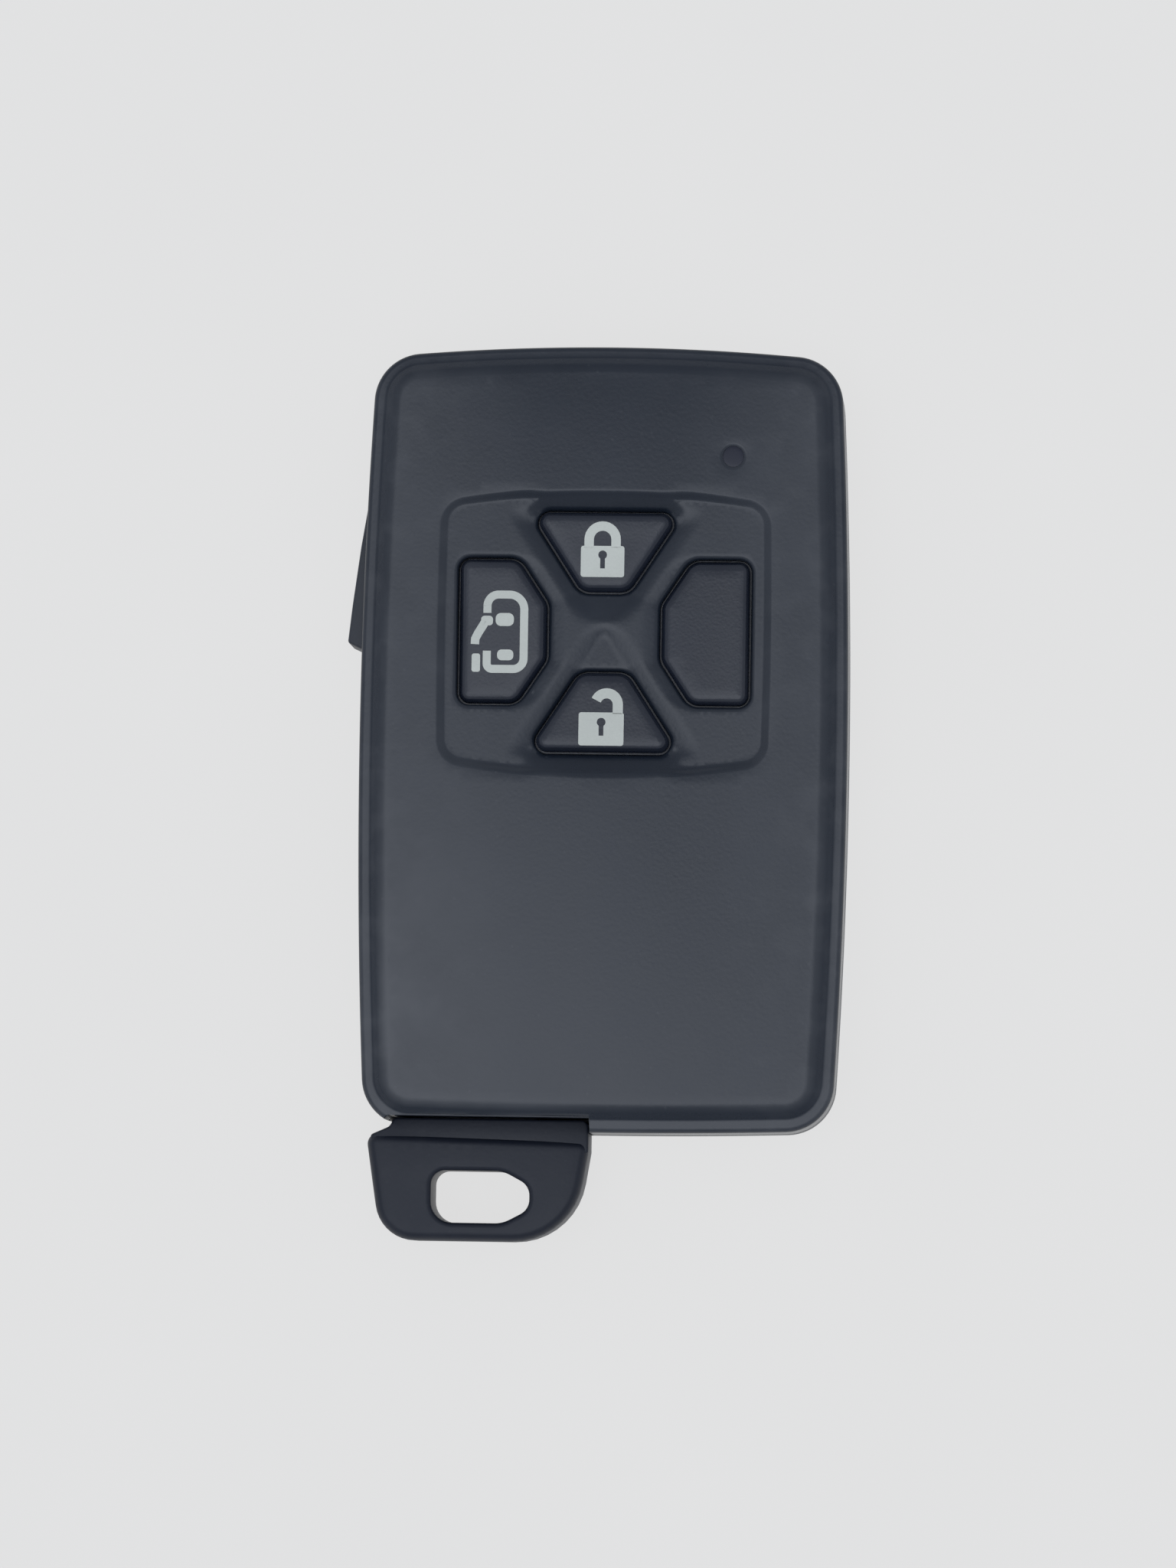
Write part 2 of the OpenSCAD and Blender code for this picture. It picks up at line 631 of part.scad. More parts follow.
antenna_side = 1;      // distance of the antenna's middle from the cell's, to the right
antenna_drop = 3.2;    // distance of the antenna's middle below the cell's
antenna_at = [cell_at[0] + antenna_side, cell_at[1] - antenna_drop];
antenna_w = 9;         // side of the antenna
antenna_h = 2.4;       // height of the antenna
winding_w = 4.2;       // width of a winding
winding_t = 0.35;      // thickness of a winding

controller_w = 6;      // side of the controller
controller_t = 1;      // height of the controller
radio_w = 4;           // side of the radio chip
radio_t = 0.9;         // height of the radio chip
crystal_l = 3.2;       // length of the crystal
crystal_w = 1.6;       // width of the crystal
low_part_t = 0.7;      // height of the crystal and of the indicator's diode
led_l = 1.6;           // length of the diode
led_w = 0.8;           // width of the diode
part_gap = 0.8;        // clearance between neighbours on the board
part_drop = 3.3;       // distance of the first row of parts below the posts
radio_in = 5;          // distance of the radio chip from the board's left edge
radio_left = carrier_left + board_margin + radio_in;
radio_at = [radio_left + radio_w / 2, post_y - part_drop - radio_w / 2];
crystal_at = [radio_at[0], radio_at[1] - radio_w / 2 - 2 * part_gap - crystal_w / 2];

module controller_chip() color([0.08, 0.08, 0.09])
    on_board([flank_middle, cross_y], [controller_w, controller_w, controller_t]);
module radio_chip() color([0.08, 0.08, 0.09]) on_board(radio_at, [radio_w, radio_w, radio_t]);
module crystal_can() color([0.75, 0.75, 0.77]) on_board(crystal_at, [crystal_l, crystal_w, low_part_t]);
module indicator_led() color([0.85, 0.85, 0.80]) on_board(lens_at, [led_l, led_w, low_part_t]);

// Rows of small parts that fill the room between the radio chip and the antenna
module chip_components() color([0.55, 0.47, 0.38]) {
    chip_l = 1.0;
    chip_w = 0.5;
    chip_t = 0.45;
    row_pitch = 2.4;
    rows = 3;
    chips_left = radio_left + radio_w + part_gap;
    chips_right = antenna_at[0] - antenna_w / 2 - part_gap;
    columns = floor((chips_right - chips_left + part_gap) / (chip_l + part_gap));
    for (i = [0:columns - 1], j = [0:rows - 1]) on_board([chips_right - chip_l / 2 - (chip_l + part_gap) * i,
        post_y - part_drop - chip_w / 2 - row_pitch * j], [chip_l, chip_w, chip_t]);
}

winding_in = antenna_w / 2 - winding_t;
winding_z = board_top + winding_t + touch;
winding_h = antenna_h - 2 * (winding_t + touch);

// Turns its child to each of the antenna's two axes
module at_antenna() translate([antenna_at[0], antenna_at[1], 0]) for (turn = [0, 90]) rotate(turn) children();

module antenna_core() color([0.18, 0.18, 0.19]) difference() {
    on_board(antenna_at, [antenna_w, antenna_w, antenna_h]);
    at_antenna() difference() {
        block([-winding_w / 2, -antenna_w, board_top - over],
            [winding_w / 2, antenna_w, board_top + antenna_h + over]);
        block([-winding_w, -winding_in + touch, winding_z],
            [winding_w, winding_in - touch, winding_z + winding_h]);
    }
}

module antenna_windings() color([0.60, 0.33, 0.16]) at_antenna() for (turn = [0, 180]) rotate(turn)
    block([-winding_w / 2 + touch, winding_in, winding_z],
        [winding_w / 2 - touch, antenna_w / 2, winding_z + winding_h]);

module coin_cell() color([0.75, 0.75, 0.76]) {
    rim = 0.4;
    cap_in = 1.2;
    translate([cell_at[0], cell_at[1], cell_z]) rotate_extrude() polygon([
        [0, 0], [cell_d / 2 - rim, 0], [cell_d / 2, rim], [cell_d / 2, cell_t - rim],
        [cell_d / 2 - rim, cell_t - rim], [cell_d / 2 - cap_in, cell_t], [0, cell_t]]);
}

contact_t = 0.25;      // sheet thickness of the contacts
contact_w = 3.6;       // width of the contacts

// Room for the upright of the positive contact
module contact_slot() block(
    [cell_at[0] - contact_w / 2 - slip, cell_at[1] + cell_d / 2 - over, floor_t + skin],
    [cell_at[0] + contact_w / 2 + slip, cell_at[1] + cell_d / 2 + contact_t + 2 * slip, board_z + over]);

module positive_contact() color([0.78, 0.74, 0.62]) {
    x = cell_at[0];
    y = cell_at[1] + cell_d / 2 + slip;
    tab_l = 2.2;
    foot = 0.5;
    block([x - contact_w / 2, y, cell_z + foot], [x + contact_w / 2, y + contact_t, board_z - touch]);
    block([x - contact_w / 2, y - tab_l, board_z - contact_t - touch],
        [x + contact_w / 2, y + contact_t, board_z - touch]);
}

module negative_contact() color([0.78, 0.74, 0.62]) translate([cell_at[0], cell_at[1], 0]) {
    top = board_z - touch;
    low = cell_z + cell_t + touch;
    bend = -2.9;
    tab_l = 2.7;
    press_l = 2;
    block([-contact_w / 2, bend - tab_l, top - contact_t], [contact_w / 2, bend + slip, top]);
    rotate([90, 0, 90]) translate([0, 0, -contact_w / 2]) linear_extrude(contact_w) polygon([
        [bend, top - contact_t], [bend, top], [contact_t, low + contact_t],
        [press_l, low + contact_t], [press_l, low], [0, low]]);
}

module lever_pin() color([0.72, 0.72, 0.74])
    post(pivot, pin_d / 2, floor_t + touch, side_in_z + pin_seat - slip);

module release_lever() color([0.22, 0.24, 0.27]) {
    outer_top = [-half_w + lever_tuck, lever_top];
    outer_end = [-half_w - lever_proud, lever_end];
    inner_x = -half_w + lever_t;
    nose_x = latch_left - touch;
    nose_low = nose_y - nose_w / 2;
    nose_high = nose_y + nose_w / 2;
    foot_y = lever_end - lever_slant;
    pin_play = 0.06;
    difference() {
        translate([0, 0, lever_z]) linear_extrude(lever_h) union() {
            polygon([outer_top, outer_end, [-half_w, foot_y], [inner_x, foot_y],
                [inner_x, nose_low - lever_slant], [nose_x, nose_low], [nose_x, nose_high],
                [inner_x, nose_high + lever_slant], [inner_x, pivot[1] - boss_r], pivot,
                [pivot[0], lever_top]]);
            translate(pivot) circle(boss_r);
        }
        post(pivot, pin_d / 2 + pin_play, lever_z - over, lever_z + lever_h + over);
    }
}

// Fork round the blade, fixed to the lever's nose, with a tooth at the blade's right edge
module latch_plate() color([0.80, 0.80, 0.82]) {
    low = nose_y - latch_w / 2;
    high = nose_y + latch_w / 2;
    left_in = key_x - blade_w / 2 - latch_swing - loose;
    right_in = key_x + blade_w / 2 + tooth_clear + tooth_h;
    block([latch_left, low, latch_z], [latch_right, high, blade_z - loose]);
    block([latch_left, low, latch_z], [left_in, high, latch_top]);
    block([right_in, low, latch_z], [latch_right, high, latch_top]);
    block([right_in - tooth_h, nose_y - tooth_w / 2, blade_z],
        [latch_right, nose_y + tooth_w / 2, blade_top]);
}

// Coil spring along +X between the latch plate and its seat
function coil(v) = let (r = (spring_d - spring_wire) / 2, a = 360 * spring_turns * v,
        from = latch_right + spring_wire / 2 + touch, to = spring_end - spring_wire / 2 - touch)
    [from + (to - from) * v, nose_y + r * cos(a), spring_z + r * sin(a)];

module latch_spring() color([0.72, 0.72, 0.74]) {
    rings = ceil(12 * spring_turns);
    sides = 6;
    points = [for (k = [0:rings], j = [0:sides - 1])
        let (v = k / rings, d = coil(v + 0.001) - coil(v - 0.001), t = d / norm(d),
            out = [0, cos(360 * spring_turns * v), sin(360 * spring_turns * v)], up = cross(t, out))
        coil(v) + spring_wire / 2 * (cos(360 * j / sides) * out + sin(360 * j / sides) * up)];
    faces = [for (k = [0:rings - 1], j = [0:sides - 1], half = [0, 1])
        let (a = k * sides + j, b = k * sides + (j + 1) % sides)
        half == 0 ? [a, a + sides, b + sides] : [a, b + sides, b]];
    polyhedron(points, concat(faces, [[for (j = [0:sides - 1]) j]],
        [[for (j = [sides - 1:-1:0]) rings * sides + j]]));
}

// Plan of the key head
head_low = -half_l - head_l;
head_taper = 1.4;      // how much each side draws in towards the bottom
head_slant = 0.45;     // fall of the top edge to the right
head_corners = [[head_left + head_taper, head_low], [head_right - head_taper, head_low],
    [head_right, head_top - head_slant], [head_left, head_top]];
head_radii = [3.4, 6.0, 0.8, 0.9];
// Slices of the key head: [inset, share of the thickness]
head_slices = [[0.55, 0], [0.15, 0.06], [0, 0.2], [0, 0.7], [0.1, 0.84], [0.3, 0.95], [0.5, 1]];
ring_up = 3.75;        // height of the ring hole's middle above the head's lower edge
ring_side = 0.35;      // distance of the ring hole's middle from the key's centre line
ring_y = head_low + ring_up;
ring_left = key_x - ring_hole_l / 2 + ring_side;
ring_tip_r = 1.2;      // radius of the ring hole's narrow end
ring_slope = 38;       // angle of the sides that lead to the narrow end
ring_turn_r = 2.0;     // radius where those sides begin
ring_low_r = 1.6;      // radius of the lower corner at the wide end
ring_high_r = 1.2;     // radius of the upper corner at the wide end
ring_apex = ring_left + ring_hole_l + ring_tip_r * (1 / sin(ring_slope) - 1);
ring_turn = ring_apex - ring_hole_h / 2 / tan(ring_slope);
ring_corners = [[ring_left, ring_y - ring_hole_h / 2], [ring_turn, ring_y - ring_hole_h / 2],
    [ring_apex, ring_y], [ring_turn, ring_y + ring_hole_h / 2], [ring_left, ring_y + ring_hole_h / 2]];
ring_radii = [ring_low_r, ring_turn_r, ring_tip_r, ring_turn_r, ring_high_r];
collar_edge = 0.4;     // bevel of the collar's upper corners
collar_slope = 0.75;   // height of the collar's left end
collar_root = 1.1;     // how far the collar runs into the head
shoulder_in = 0.45;    // distance of the collar's left shoulder from the head's left side
shoulder_up = 0.25;    // height of that shoulder above the head's top edge

module key_head() color([0.22, 0.24, 0.28]) difference() {
    union() {
        hull() for (s = head_slices) translate([0, 0, head_z + (head_t - skin) * s[1]])
            linear_extrude(skin) polygon(filleted(head_corners, head_radii, -s[0]));
        // Collar that fills the notch, with its sloped left shoulder
        translate([0, 0, collar_z]) linear_extrude(collar_t) polygon([
            [head_left + shoulder_in, head_top - collar_root],
            [head_left + shoulder_in, head_top + shoulder_up],
            [collar_left, collar_top - collar_slope],
            [collar_left + collar_edge, collar_top],
            [collar_right - collar_edge, collar_top],
            [collar_right, collar_top - collar_edge],
            [collar_right, head_top - collar_root]]);
        block([key_x - shank_w / 2, collar_top - over, shank_z],
            [key_x + shank_w / 2, shank_top, shank_z + shank_t]);
    }
    // Ring hole, rounder to the left and narrower to the right
    translate([0, 0, head_z - over]) linear_extrude(head_t + 2 * over)
        polygon(filleted(ring_corners, ring_radii, 0));
    // Socket of the blade
    block([key_x - blade_w / 2 - touch, shank_top - socket_l, blade_z - touch],
        [key_x + blade_w / 2 + touch, shank_top + over, blade_top + touch]);
}

module key_blade() color([0.78, 0.78, 0.80]) {
    tip = 2.2;
    half = blade_w / 2;
    groove_lead = 3;
    groove_start = shank_top + groove_lead;
    root = shank_top - socket_l + touch;
    difference() {
        translate([key_x, 0, blade_z]) linear_extrude(blade_t) polygon([
            [-half, root], [half, root], [half, blade_tip - tip], [half - tip, blade_tip],
            [tip - half, blade_tip], [-half, blade_tip - tip]]);
        for (z = [blade_z - over, blade_top - groove_depth])
            block([key_x - groove_w / 2, groove_start, z],
                [key_x + groove_w / 2, blade_tip + over, z + over + groove_depth]);
        // Notch for the latch tooth
        block([key_x + half - notch_depth, nose_y - notch_w / 2, blade_z - over],
            [key_x + half + over, nose_y + notch_w / 2, blade_top + over]);
    }
}

front_cover();
rear_cover();
blank_plug();
indicator_lens();
keypad_membrane();
circuit_board();
board_carrier();
lock_switch();
unlock_switch();
door_switch();
controller_chip();
radio_chip();
crystal_can();
indicator_led();
chip_components();
antenna_core();
antenna_windings();
coin_cell();
positive_contact();
negative_contact();
lever_pin();
latch_spring();
lock_button();
lock_plunger();
unlock_button();
unlock_plunger();
door_button();
door_plunger();
release_lever();
latch_plate();
key_head();
key_blade();
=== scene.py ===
import json
import math
from types import SimpleNamespace

import bmesh
import bpy
import numpy
from bpy.props import FloatProperty, FloatVectorProperty, PointerProperty
from mathutils import Matrix, Vector
from mathutils.geometry import delaunay_2d_cdt


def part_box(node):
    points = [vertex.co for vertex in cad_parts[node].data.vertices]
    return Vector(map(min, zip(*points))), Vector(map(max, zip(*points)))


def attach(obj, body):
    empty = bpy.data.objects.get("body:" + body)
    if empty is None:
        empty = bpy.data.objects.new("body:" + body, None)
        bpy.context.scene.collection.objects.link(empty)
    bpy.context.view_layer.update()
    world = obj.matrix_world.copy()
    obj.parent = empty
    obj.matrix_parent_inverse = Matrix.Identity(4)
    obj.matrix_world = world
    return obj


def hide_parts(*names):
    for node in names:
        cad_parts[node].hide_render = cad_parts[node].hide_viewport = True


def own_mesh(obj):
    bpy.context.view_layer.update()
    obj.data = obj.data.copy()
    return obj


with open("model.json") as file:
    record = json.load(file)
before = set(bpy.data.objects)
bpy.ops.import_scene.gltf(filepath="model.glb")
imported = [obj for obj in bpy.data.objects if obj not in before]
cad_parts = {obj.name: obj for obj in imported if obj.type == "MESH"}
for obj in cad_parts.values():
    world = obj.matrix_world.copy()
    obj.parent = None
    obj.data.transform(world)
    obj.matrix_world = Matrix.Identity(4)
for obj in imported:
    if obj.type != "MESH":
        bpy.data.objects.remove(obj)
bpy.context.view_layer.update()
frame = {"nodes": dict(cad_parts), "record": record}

bl_info = {
    "name": "Car key fob",
    "version": (1, 0, 0),
    "blender": (4, 5, 0),
    "location": "View3D > Sidebar > Key fob",
    "description": "Builds a flat car key fob over its packed solids, with its finishes, light and camera",
    "category": "Add Mesh",
}

# Shapes are worked out in millimetres, and MM turns them into metres.
MM = 0.001


def node_side(node, axis, high):
    """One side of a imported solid's box, in metres."""
    low_corner, high_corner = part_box(node)
    return (high_corner if high else low_corner)["xyz".index(axis)]


def node_span(node, axis):
    """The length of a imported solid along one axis, in metres."""
    return node_side(node, axis, True) - node_side(node, axis, False)


def node_box(node):
    """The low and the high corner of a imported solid's box, in millimetres."""
    return [tuple(v / MM for v in corner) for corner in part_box(node)]


def length(name, text, size):
    """A length that the user can change."""
    return FloatProperty(name=name, description=text, default=size, subtype="DISTANCE", unit="LENGTH",
                         precision=5)


def tint(name, text, colour):
    """A colour that the user can change."""
    return FloatVectorProperty(name=name, description=text, default=colour, size=3, subtype="COLOR",
                               min=0, max=1)


class FobCase(bpy.types.PropertyGroup):
    """Sizes of the two covers."""
    width: length("Width", "Across the case at its widest", node_span("rear_cover", "x"))
    length: length("Length", "Along the case at its longest", node_span("rear_cover", "y"))
    split: length("Parting height", "Height of the line where the covers meet", 5.0 * MM)
    side_bow: length("Side bow", "How far each side swells", 0.74 * MM)
    top_bow: length("Top bow", "How far the indicator end swells", 0.67 * MM)
    bottom_bow: length("Bottom bow", "How far the key end swells", 0.28 * MM)
    corner: length("Corner radius", "Radius of the case's corners", 4.2 * MM)
    wall: length("Wall", "Thickness of the side walls", 1.3 * MM)
    floor: length("Floor", "Thickness of the back", 1.2 * MM)
    back_round: length("Back rounding", "Radius between the back and the sides", 1.7 * MM)
    draft: length("Draft", "How far the front cover's sides lean in", 0.05 * MM)
    ledge: length("Ledge", "Width of the stepped rim", 1.02 * MM)
    ledge_round: length("Ledge rounding", "Radius of the rim's outer edge", 0.45 * MM)
    ledge_height: length("Ledge height", "Height of the rim", 10.1 * MM)
    shoulder: length("Shoulder", "Width of the slope from the rim to the face", 1.52 * MM)
    shoulder_round: length("Shoulder rounding", "Width of the rounding at the top of the slope", 0.95 * MM)
    face: length("Face height", "Height of the face at its edge", 10.9 * MM)
    crown: length("Crown", "How far the face swells in the middle", 0.5 * MM)
    ceiling: length("Ceiling", "Height of the front cover's underside", 9.6 * MM)
    seam: length("Seam", "Width of the small chamfer at the parting line", 0.14 * MM)


class FobPanel(bpy.types.PropertyGroup):
    """Sizes of the sunk panel and its buttons."""
    width: length("Panel width", "Across the sunk panel", 27.6 * MM)
    height: length("Panel height", "Along the sunk panel", 24.05 * MM)
    bow: length("Panel bow", "How far its top and bottom edges swell", 0.9 * MM)
    corner: length("Panel corner", "Radius of its corners", 2.0 * MM)
    level: length("Panel level", "Height of its floor", 10.8 * MM)
    step: length("Panel step", "Width of the soft step round it", 0.85 * MM)
    dip: length("Dip", "Depth of the dips round the lock and unlock buttons", 0.5 * MM)
    dip_reach: length("Dip reach", "How far the dips spread beside the buttons", 1.65 * MM)
    middle: length("Cross middle", "Place of the button cross along the case", 8.9 * MM)
    gap: length("Gap", "Gap round each button", 0.16 * MM)
    lip: length("Opening edge", "Rounding of the opening edges", 0.4 * MM)
    button_top: length("Button top", "Height of the button faces", 11.3 * MM)
    button_foot: length("Button foot", "Height of their undersides, clear of the pressed keypad", 9.06 * MM)
    side_round: length("Button side", "Width of the buttons' steep sides as seen from above", 0.42 * MM)
    bevel: length("Button bevel", "Width of the gentle bevel round the button faces", 0.42 * MM)


class FobKey(bpy.types.PropertyGroup):
    """Sizes of the emergency key's head and the notch that holds it."""
    left: length("Left", "Left side of the head", node_side("key_head", "x", False))
    right: length("Right", "Right side of the head", -0.675 * MM)
    low: length("End", "Outer end of the head", node_side("key_head", "y", False))
    top: length("Shoulder", "Where the head meets the case", -33.5 * MM)
    taper: length("Taper", "How far each side leans in towards the end", 1.4 * MM)
    base: length("Underside", "Height of the head's underside", node_side("key_head", "z", False))
    rise: length("Top", "Height of the head's top", node_side("key_head", "z", True))
    notch: length("Notch", "Where the notch in the case ends", -32.05 * MM)
    hole_middle: length("Ring hole", "Place of the ring hole along the key", -38.8 * MM)


class FobColours(bpy.types.PropertyGroup):
    """Colours of the finishes."""
    front: tint("Front cover", "Moulded front cover", (0.0145, 0.0203, 0.0315))
    rear: tint("Rear cover", "Moulded rear cover", (0.0145, 0.0203, 0.0315))
    button: tint("Buttons", "Buttons and blanking plug", (0.0125, 0.0165, 0.028))
    # The lever's colour is paler than the case's: painted light that makes up for the shade it sits in.
    lever: tint("Lever", "Release lever", (0.030, 0.035, 0.045))
    key: tint("Key head", "Emergency key's head", (0.0125, 0.016, 0.0265))
    # The dust colour also paints the pale sheen on the face and the highlight on worn edges.
    dust: tint("Dust", "Fine dust and scuffs", (0.125, 0.130, 0.140))
    print: tint("Icons", "Printed icons", (0.68, 0.705, 0.64))
    lens: tint("Lens", "Smoked indicator lens", (0.016, 0.0187, 0.0336))
    floor: tint("Floor", "Floor under the fob", (0.785, 0.785, 0.785))


def in_mm(group):
    """The lengths of a property group in millimetres."""
    return SimpleNamespace(**{name: getattr(group, name) / MM for name in group.__annotations__})


# Counts of parts that outlines are drawn with, and the least step between two places on an edge.
SIDE_PARTS, END_PARTS, CORNER_PARTS, FILLET_PARTS, STRAIGHT_PARTS = 44, 30, 14, 9, 12
LEAST_STEP = 0.006


def even(count, marks=()):
    """Places from -1 to 1 along an edge, with more of them where a cut begins or ends."""
    spread = [2 * k / count - 1 for k in range(count + 1)]
    return sorted([v for v in spread if all(abs(v - mark) > LEAST_STEP for mark in marks)] + list(marks))


def bowed_edge(start, end, bow, r, places):
    """Points along an edge that swells by bow, moved outwards by r."""
    middle = (Vector(start) + Vector(end)) / 2
    half = (Vector(end) - Vector(start)) / 2
    out = Vector((half.y, -half.x)).normalized()
    for v in places:
        along = half - out * 2 * bow * v
        normal = Vector((along.y, -along.x)).normalized()
        yield tuple(middle + half * v + out * bow * (1 - v * v) + normal * r)


def on_circle(centre, r, turns):
    """Points on a circle, one for each angle."""
    return [(centre[0] + r * math.cos(a), centre[1] + r * math.sin(a)) for a in turns]


def turning(first, last, steps):
    """Angles from the first to the last in even steps."""
    return [first + (last - first) * k / steps for k in range(steps + 1)]


def arc(centre, first, last, r):
    """Points of an arc, without its ends."""
    return on_circle(centre, r, turning(first, last, CORNER_PARTS)[1:-1])


def bowed_outline(w, l, bow, bow_t, bow_b, r, left_marks=(), bottom_marks=()):
    """A rectangle of half sizes w and l with swelling edges and round corners, anticlockwise."""
    x, t, b = w - bow - r, l - bow_t - r, l - bow_b - r
    lean, lean_t, lean_b = math.atan(4 * bow / (t + b)), math.atan(2 * bow_t / x), math.atan(2 * bow_b / x)
    return [
        *bowed_edge((x, -b), (x, t), bow, r, even(SIDE_PARTS)),
        *arc((x, t), lean, math.pi / 2 - lean_t, r),
        *bowed_edge((x, t), (-x, t), bow_t, r, even(END_PARTS)),
        *arc((-x, t), math.pi / 2 + lean_t, math.pi - lean, r),
        *bowed_edge((-x, t), (-x, -b), bow, r, even(SIDE_PARTS, left_marks)),
        *arc((-x, -b), math.pi + lean, 1.5 * math.pi - lean_b, r),
        *bowed_edge((-x, -b), (x, -b), bow_b, r, even(END_PARTS, bottom_marks)),
        *arc((x, -b), 1.5 * math.pi + lean_b, 2 * math.pi - lean, r)]


def filleted(corners, radii, grow=0.0, steps=FILLET_PARTS):
    """An anticlockwise polygon with its corners rounded, moved outwards by grow."""
    outline = []
    for k, (corner, r) in enumerate(zip(corners, radii)):
        p = Vector(corner)
        u = (Vector(corners[k - 1]) - p).normalized()
        w = (Vector(corners[(k + 1) % len(corners)]) - p).normalized()
        turn = math.acos(u.dot(w))
        middle = p + (u + w).normalized() * r / math.sin(turn / 2)
        first = math.atan2(u.x, -u.y)
        outline += on_circle(middle, r + grow, turning(first, first + math.pi - turn, steps))
    return outline


def between(a, b, parts, first=0):
    """Places that split the line from a to b into parts, from the first one on, without b."""
    return [tuple(p + (q - p) * k / parts for p, q in zip(a, b)) for k in range(first, parts)]


def spaced(loop, gap):
    """A closed outline with points added so that no side is longer than gap."""
    points = []
    for a, b in zip(loop, loop[1:] + loop[:1]):
        points += between(a, b, max(1, math.ceil(math.dist(a, b) / gap)))
    return points


def split_sides(loop):
    """A rounded outline with its straight sides split evenly, the same count at any size."""
    points, corner = [], FILLET_PARTS + 1
    for k, point in enumerate(loop):
        points.append(point)
        if k % corner == corner - 1:
            points += between(point, loop[(k + 1) % len(loop)], STRAIGHT_PARTS, 1)
    return points


def circle(centre, r, steps=28):
    """A closed circle, anticlockwise."""
    return on_circle(centre, r, turning(0, math.tau, steps)[:-1])


def bend(centre, r, first, last, steps=16):
    """Points of a bend in a path, from one angle to another in degrees."""
    return on_circle(centre, r, turning(math.radians(first), math.radians(last), steps))


def rounding(steps, turn=math.pi / 2):
    """Steps round an edge of radius 1: how far each lies in from the side, and how far below the top."""
    return [(1 - math.cos(a), 1 - math.sin(a)) for a in turning(0, turn, steps)]


def within(points, loop):
    """Which points lie inside a closed outline."""
    p = numpy.asarray(points, float)
    inside = numpy.zeros(len(p), bool)
    for (ax, ay), (bx, by) in zip(loop, loop[1:] + loop[:1]):
        if ay != by:
            crosses = (ay > p[:, 1]) != (by > p[:, 1])
            inside ^= crosses & (p[:, 0] < (bx - ax) * (p[:, 1] - ay) / (by - ay) + ax)
    return inside


def triangle_sides(a, b, c):
    """The three sides of a triangle, each as a pair of corners."""
    return frozenset((a, b)), frozenset((b, c)), frozenset((c, a))


def held(t):
    """A share held between 0 and 1."""
    return max(0.0, min(1.0, t))


def soft(t):
    """Runs smoothly from 0 to 1."""
    t = held(t)
    return t * t * (3 - 2 * t)


def level(height, x, y):
    """The height at one place, given as a number or as a function of the place."""
    return height(x, y) if callable(height) else height


def shifted(height, by):
    """A height for each place, moved up by a length."""
    return lambda x, y: height(x, y) + by


# Edges that turn by more than these degrees are shaded sharp: on shells, the key head and swept pieces.
SHELL_SHARP, HEAD_SHARP, SWEPT_SHARP = 32, 38, 40


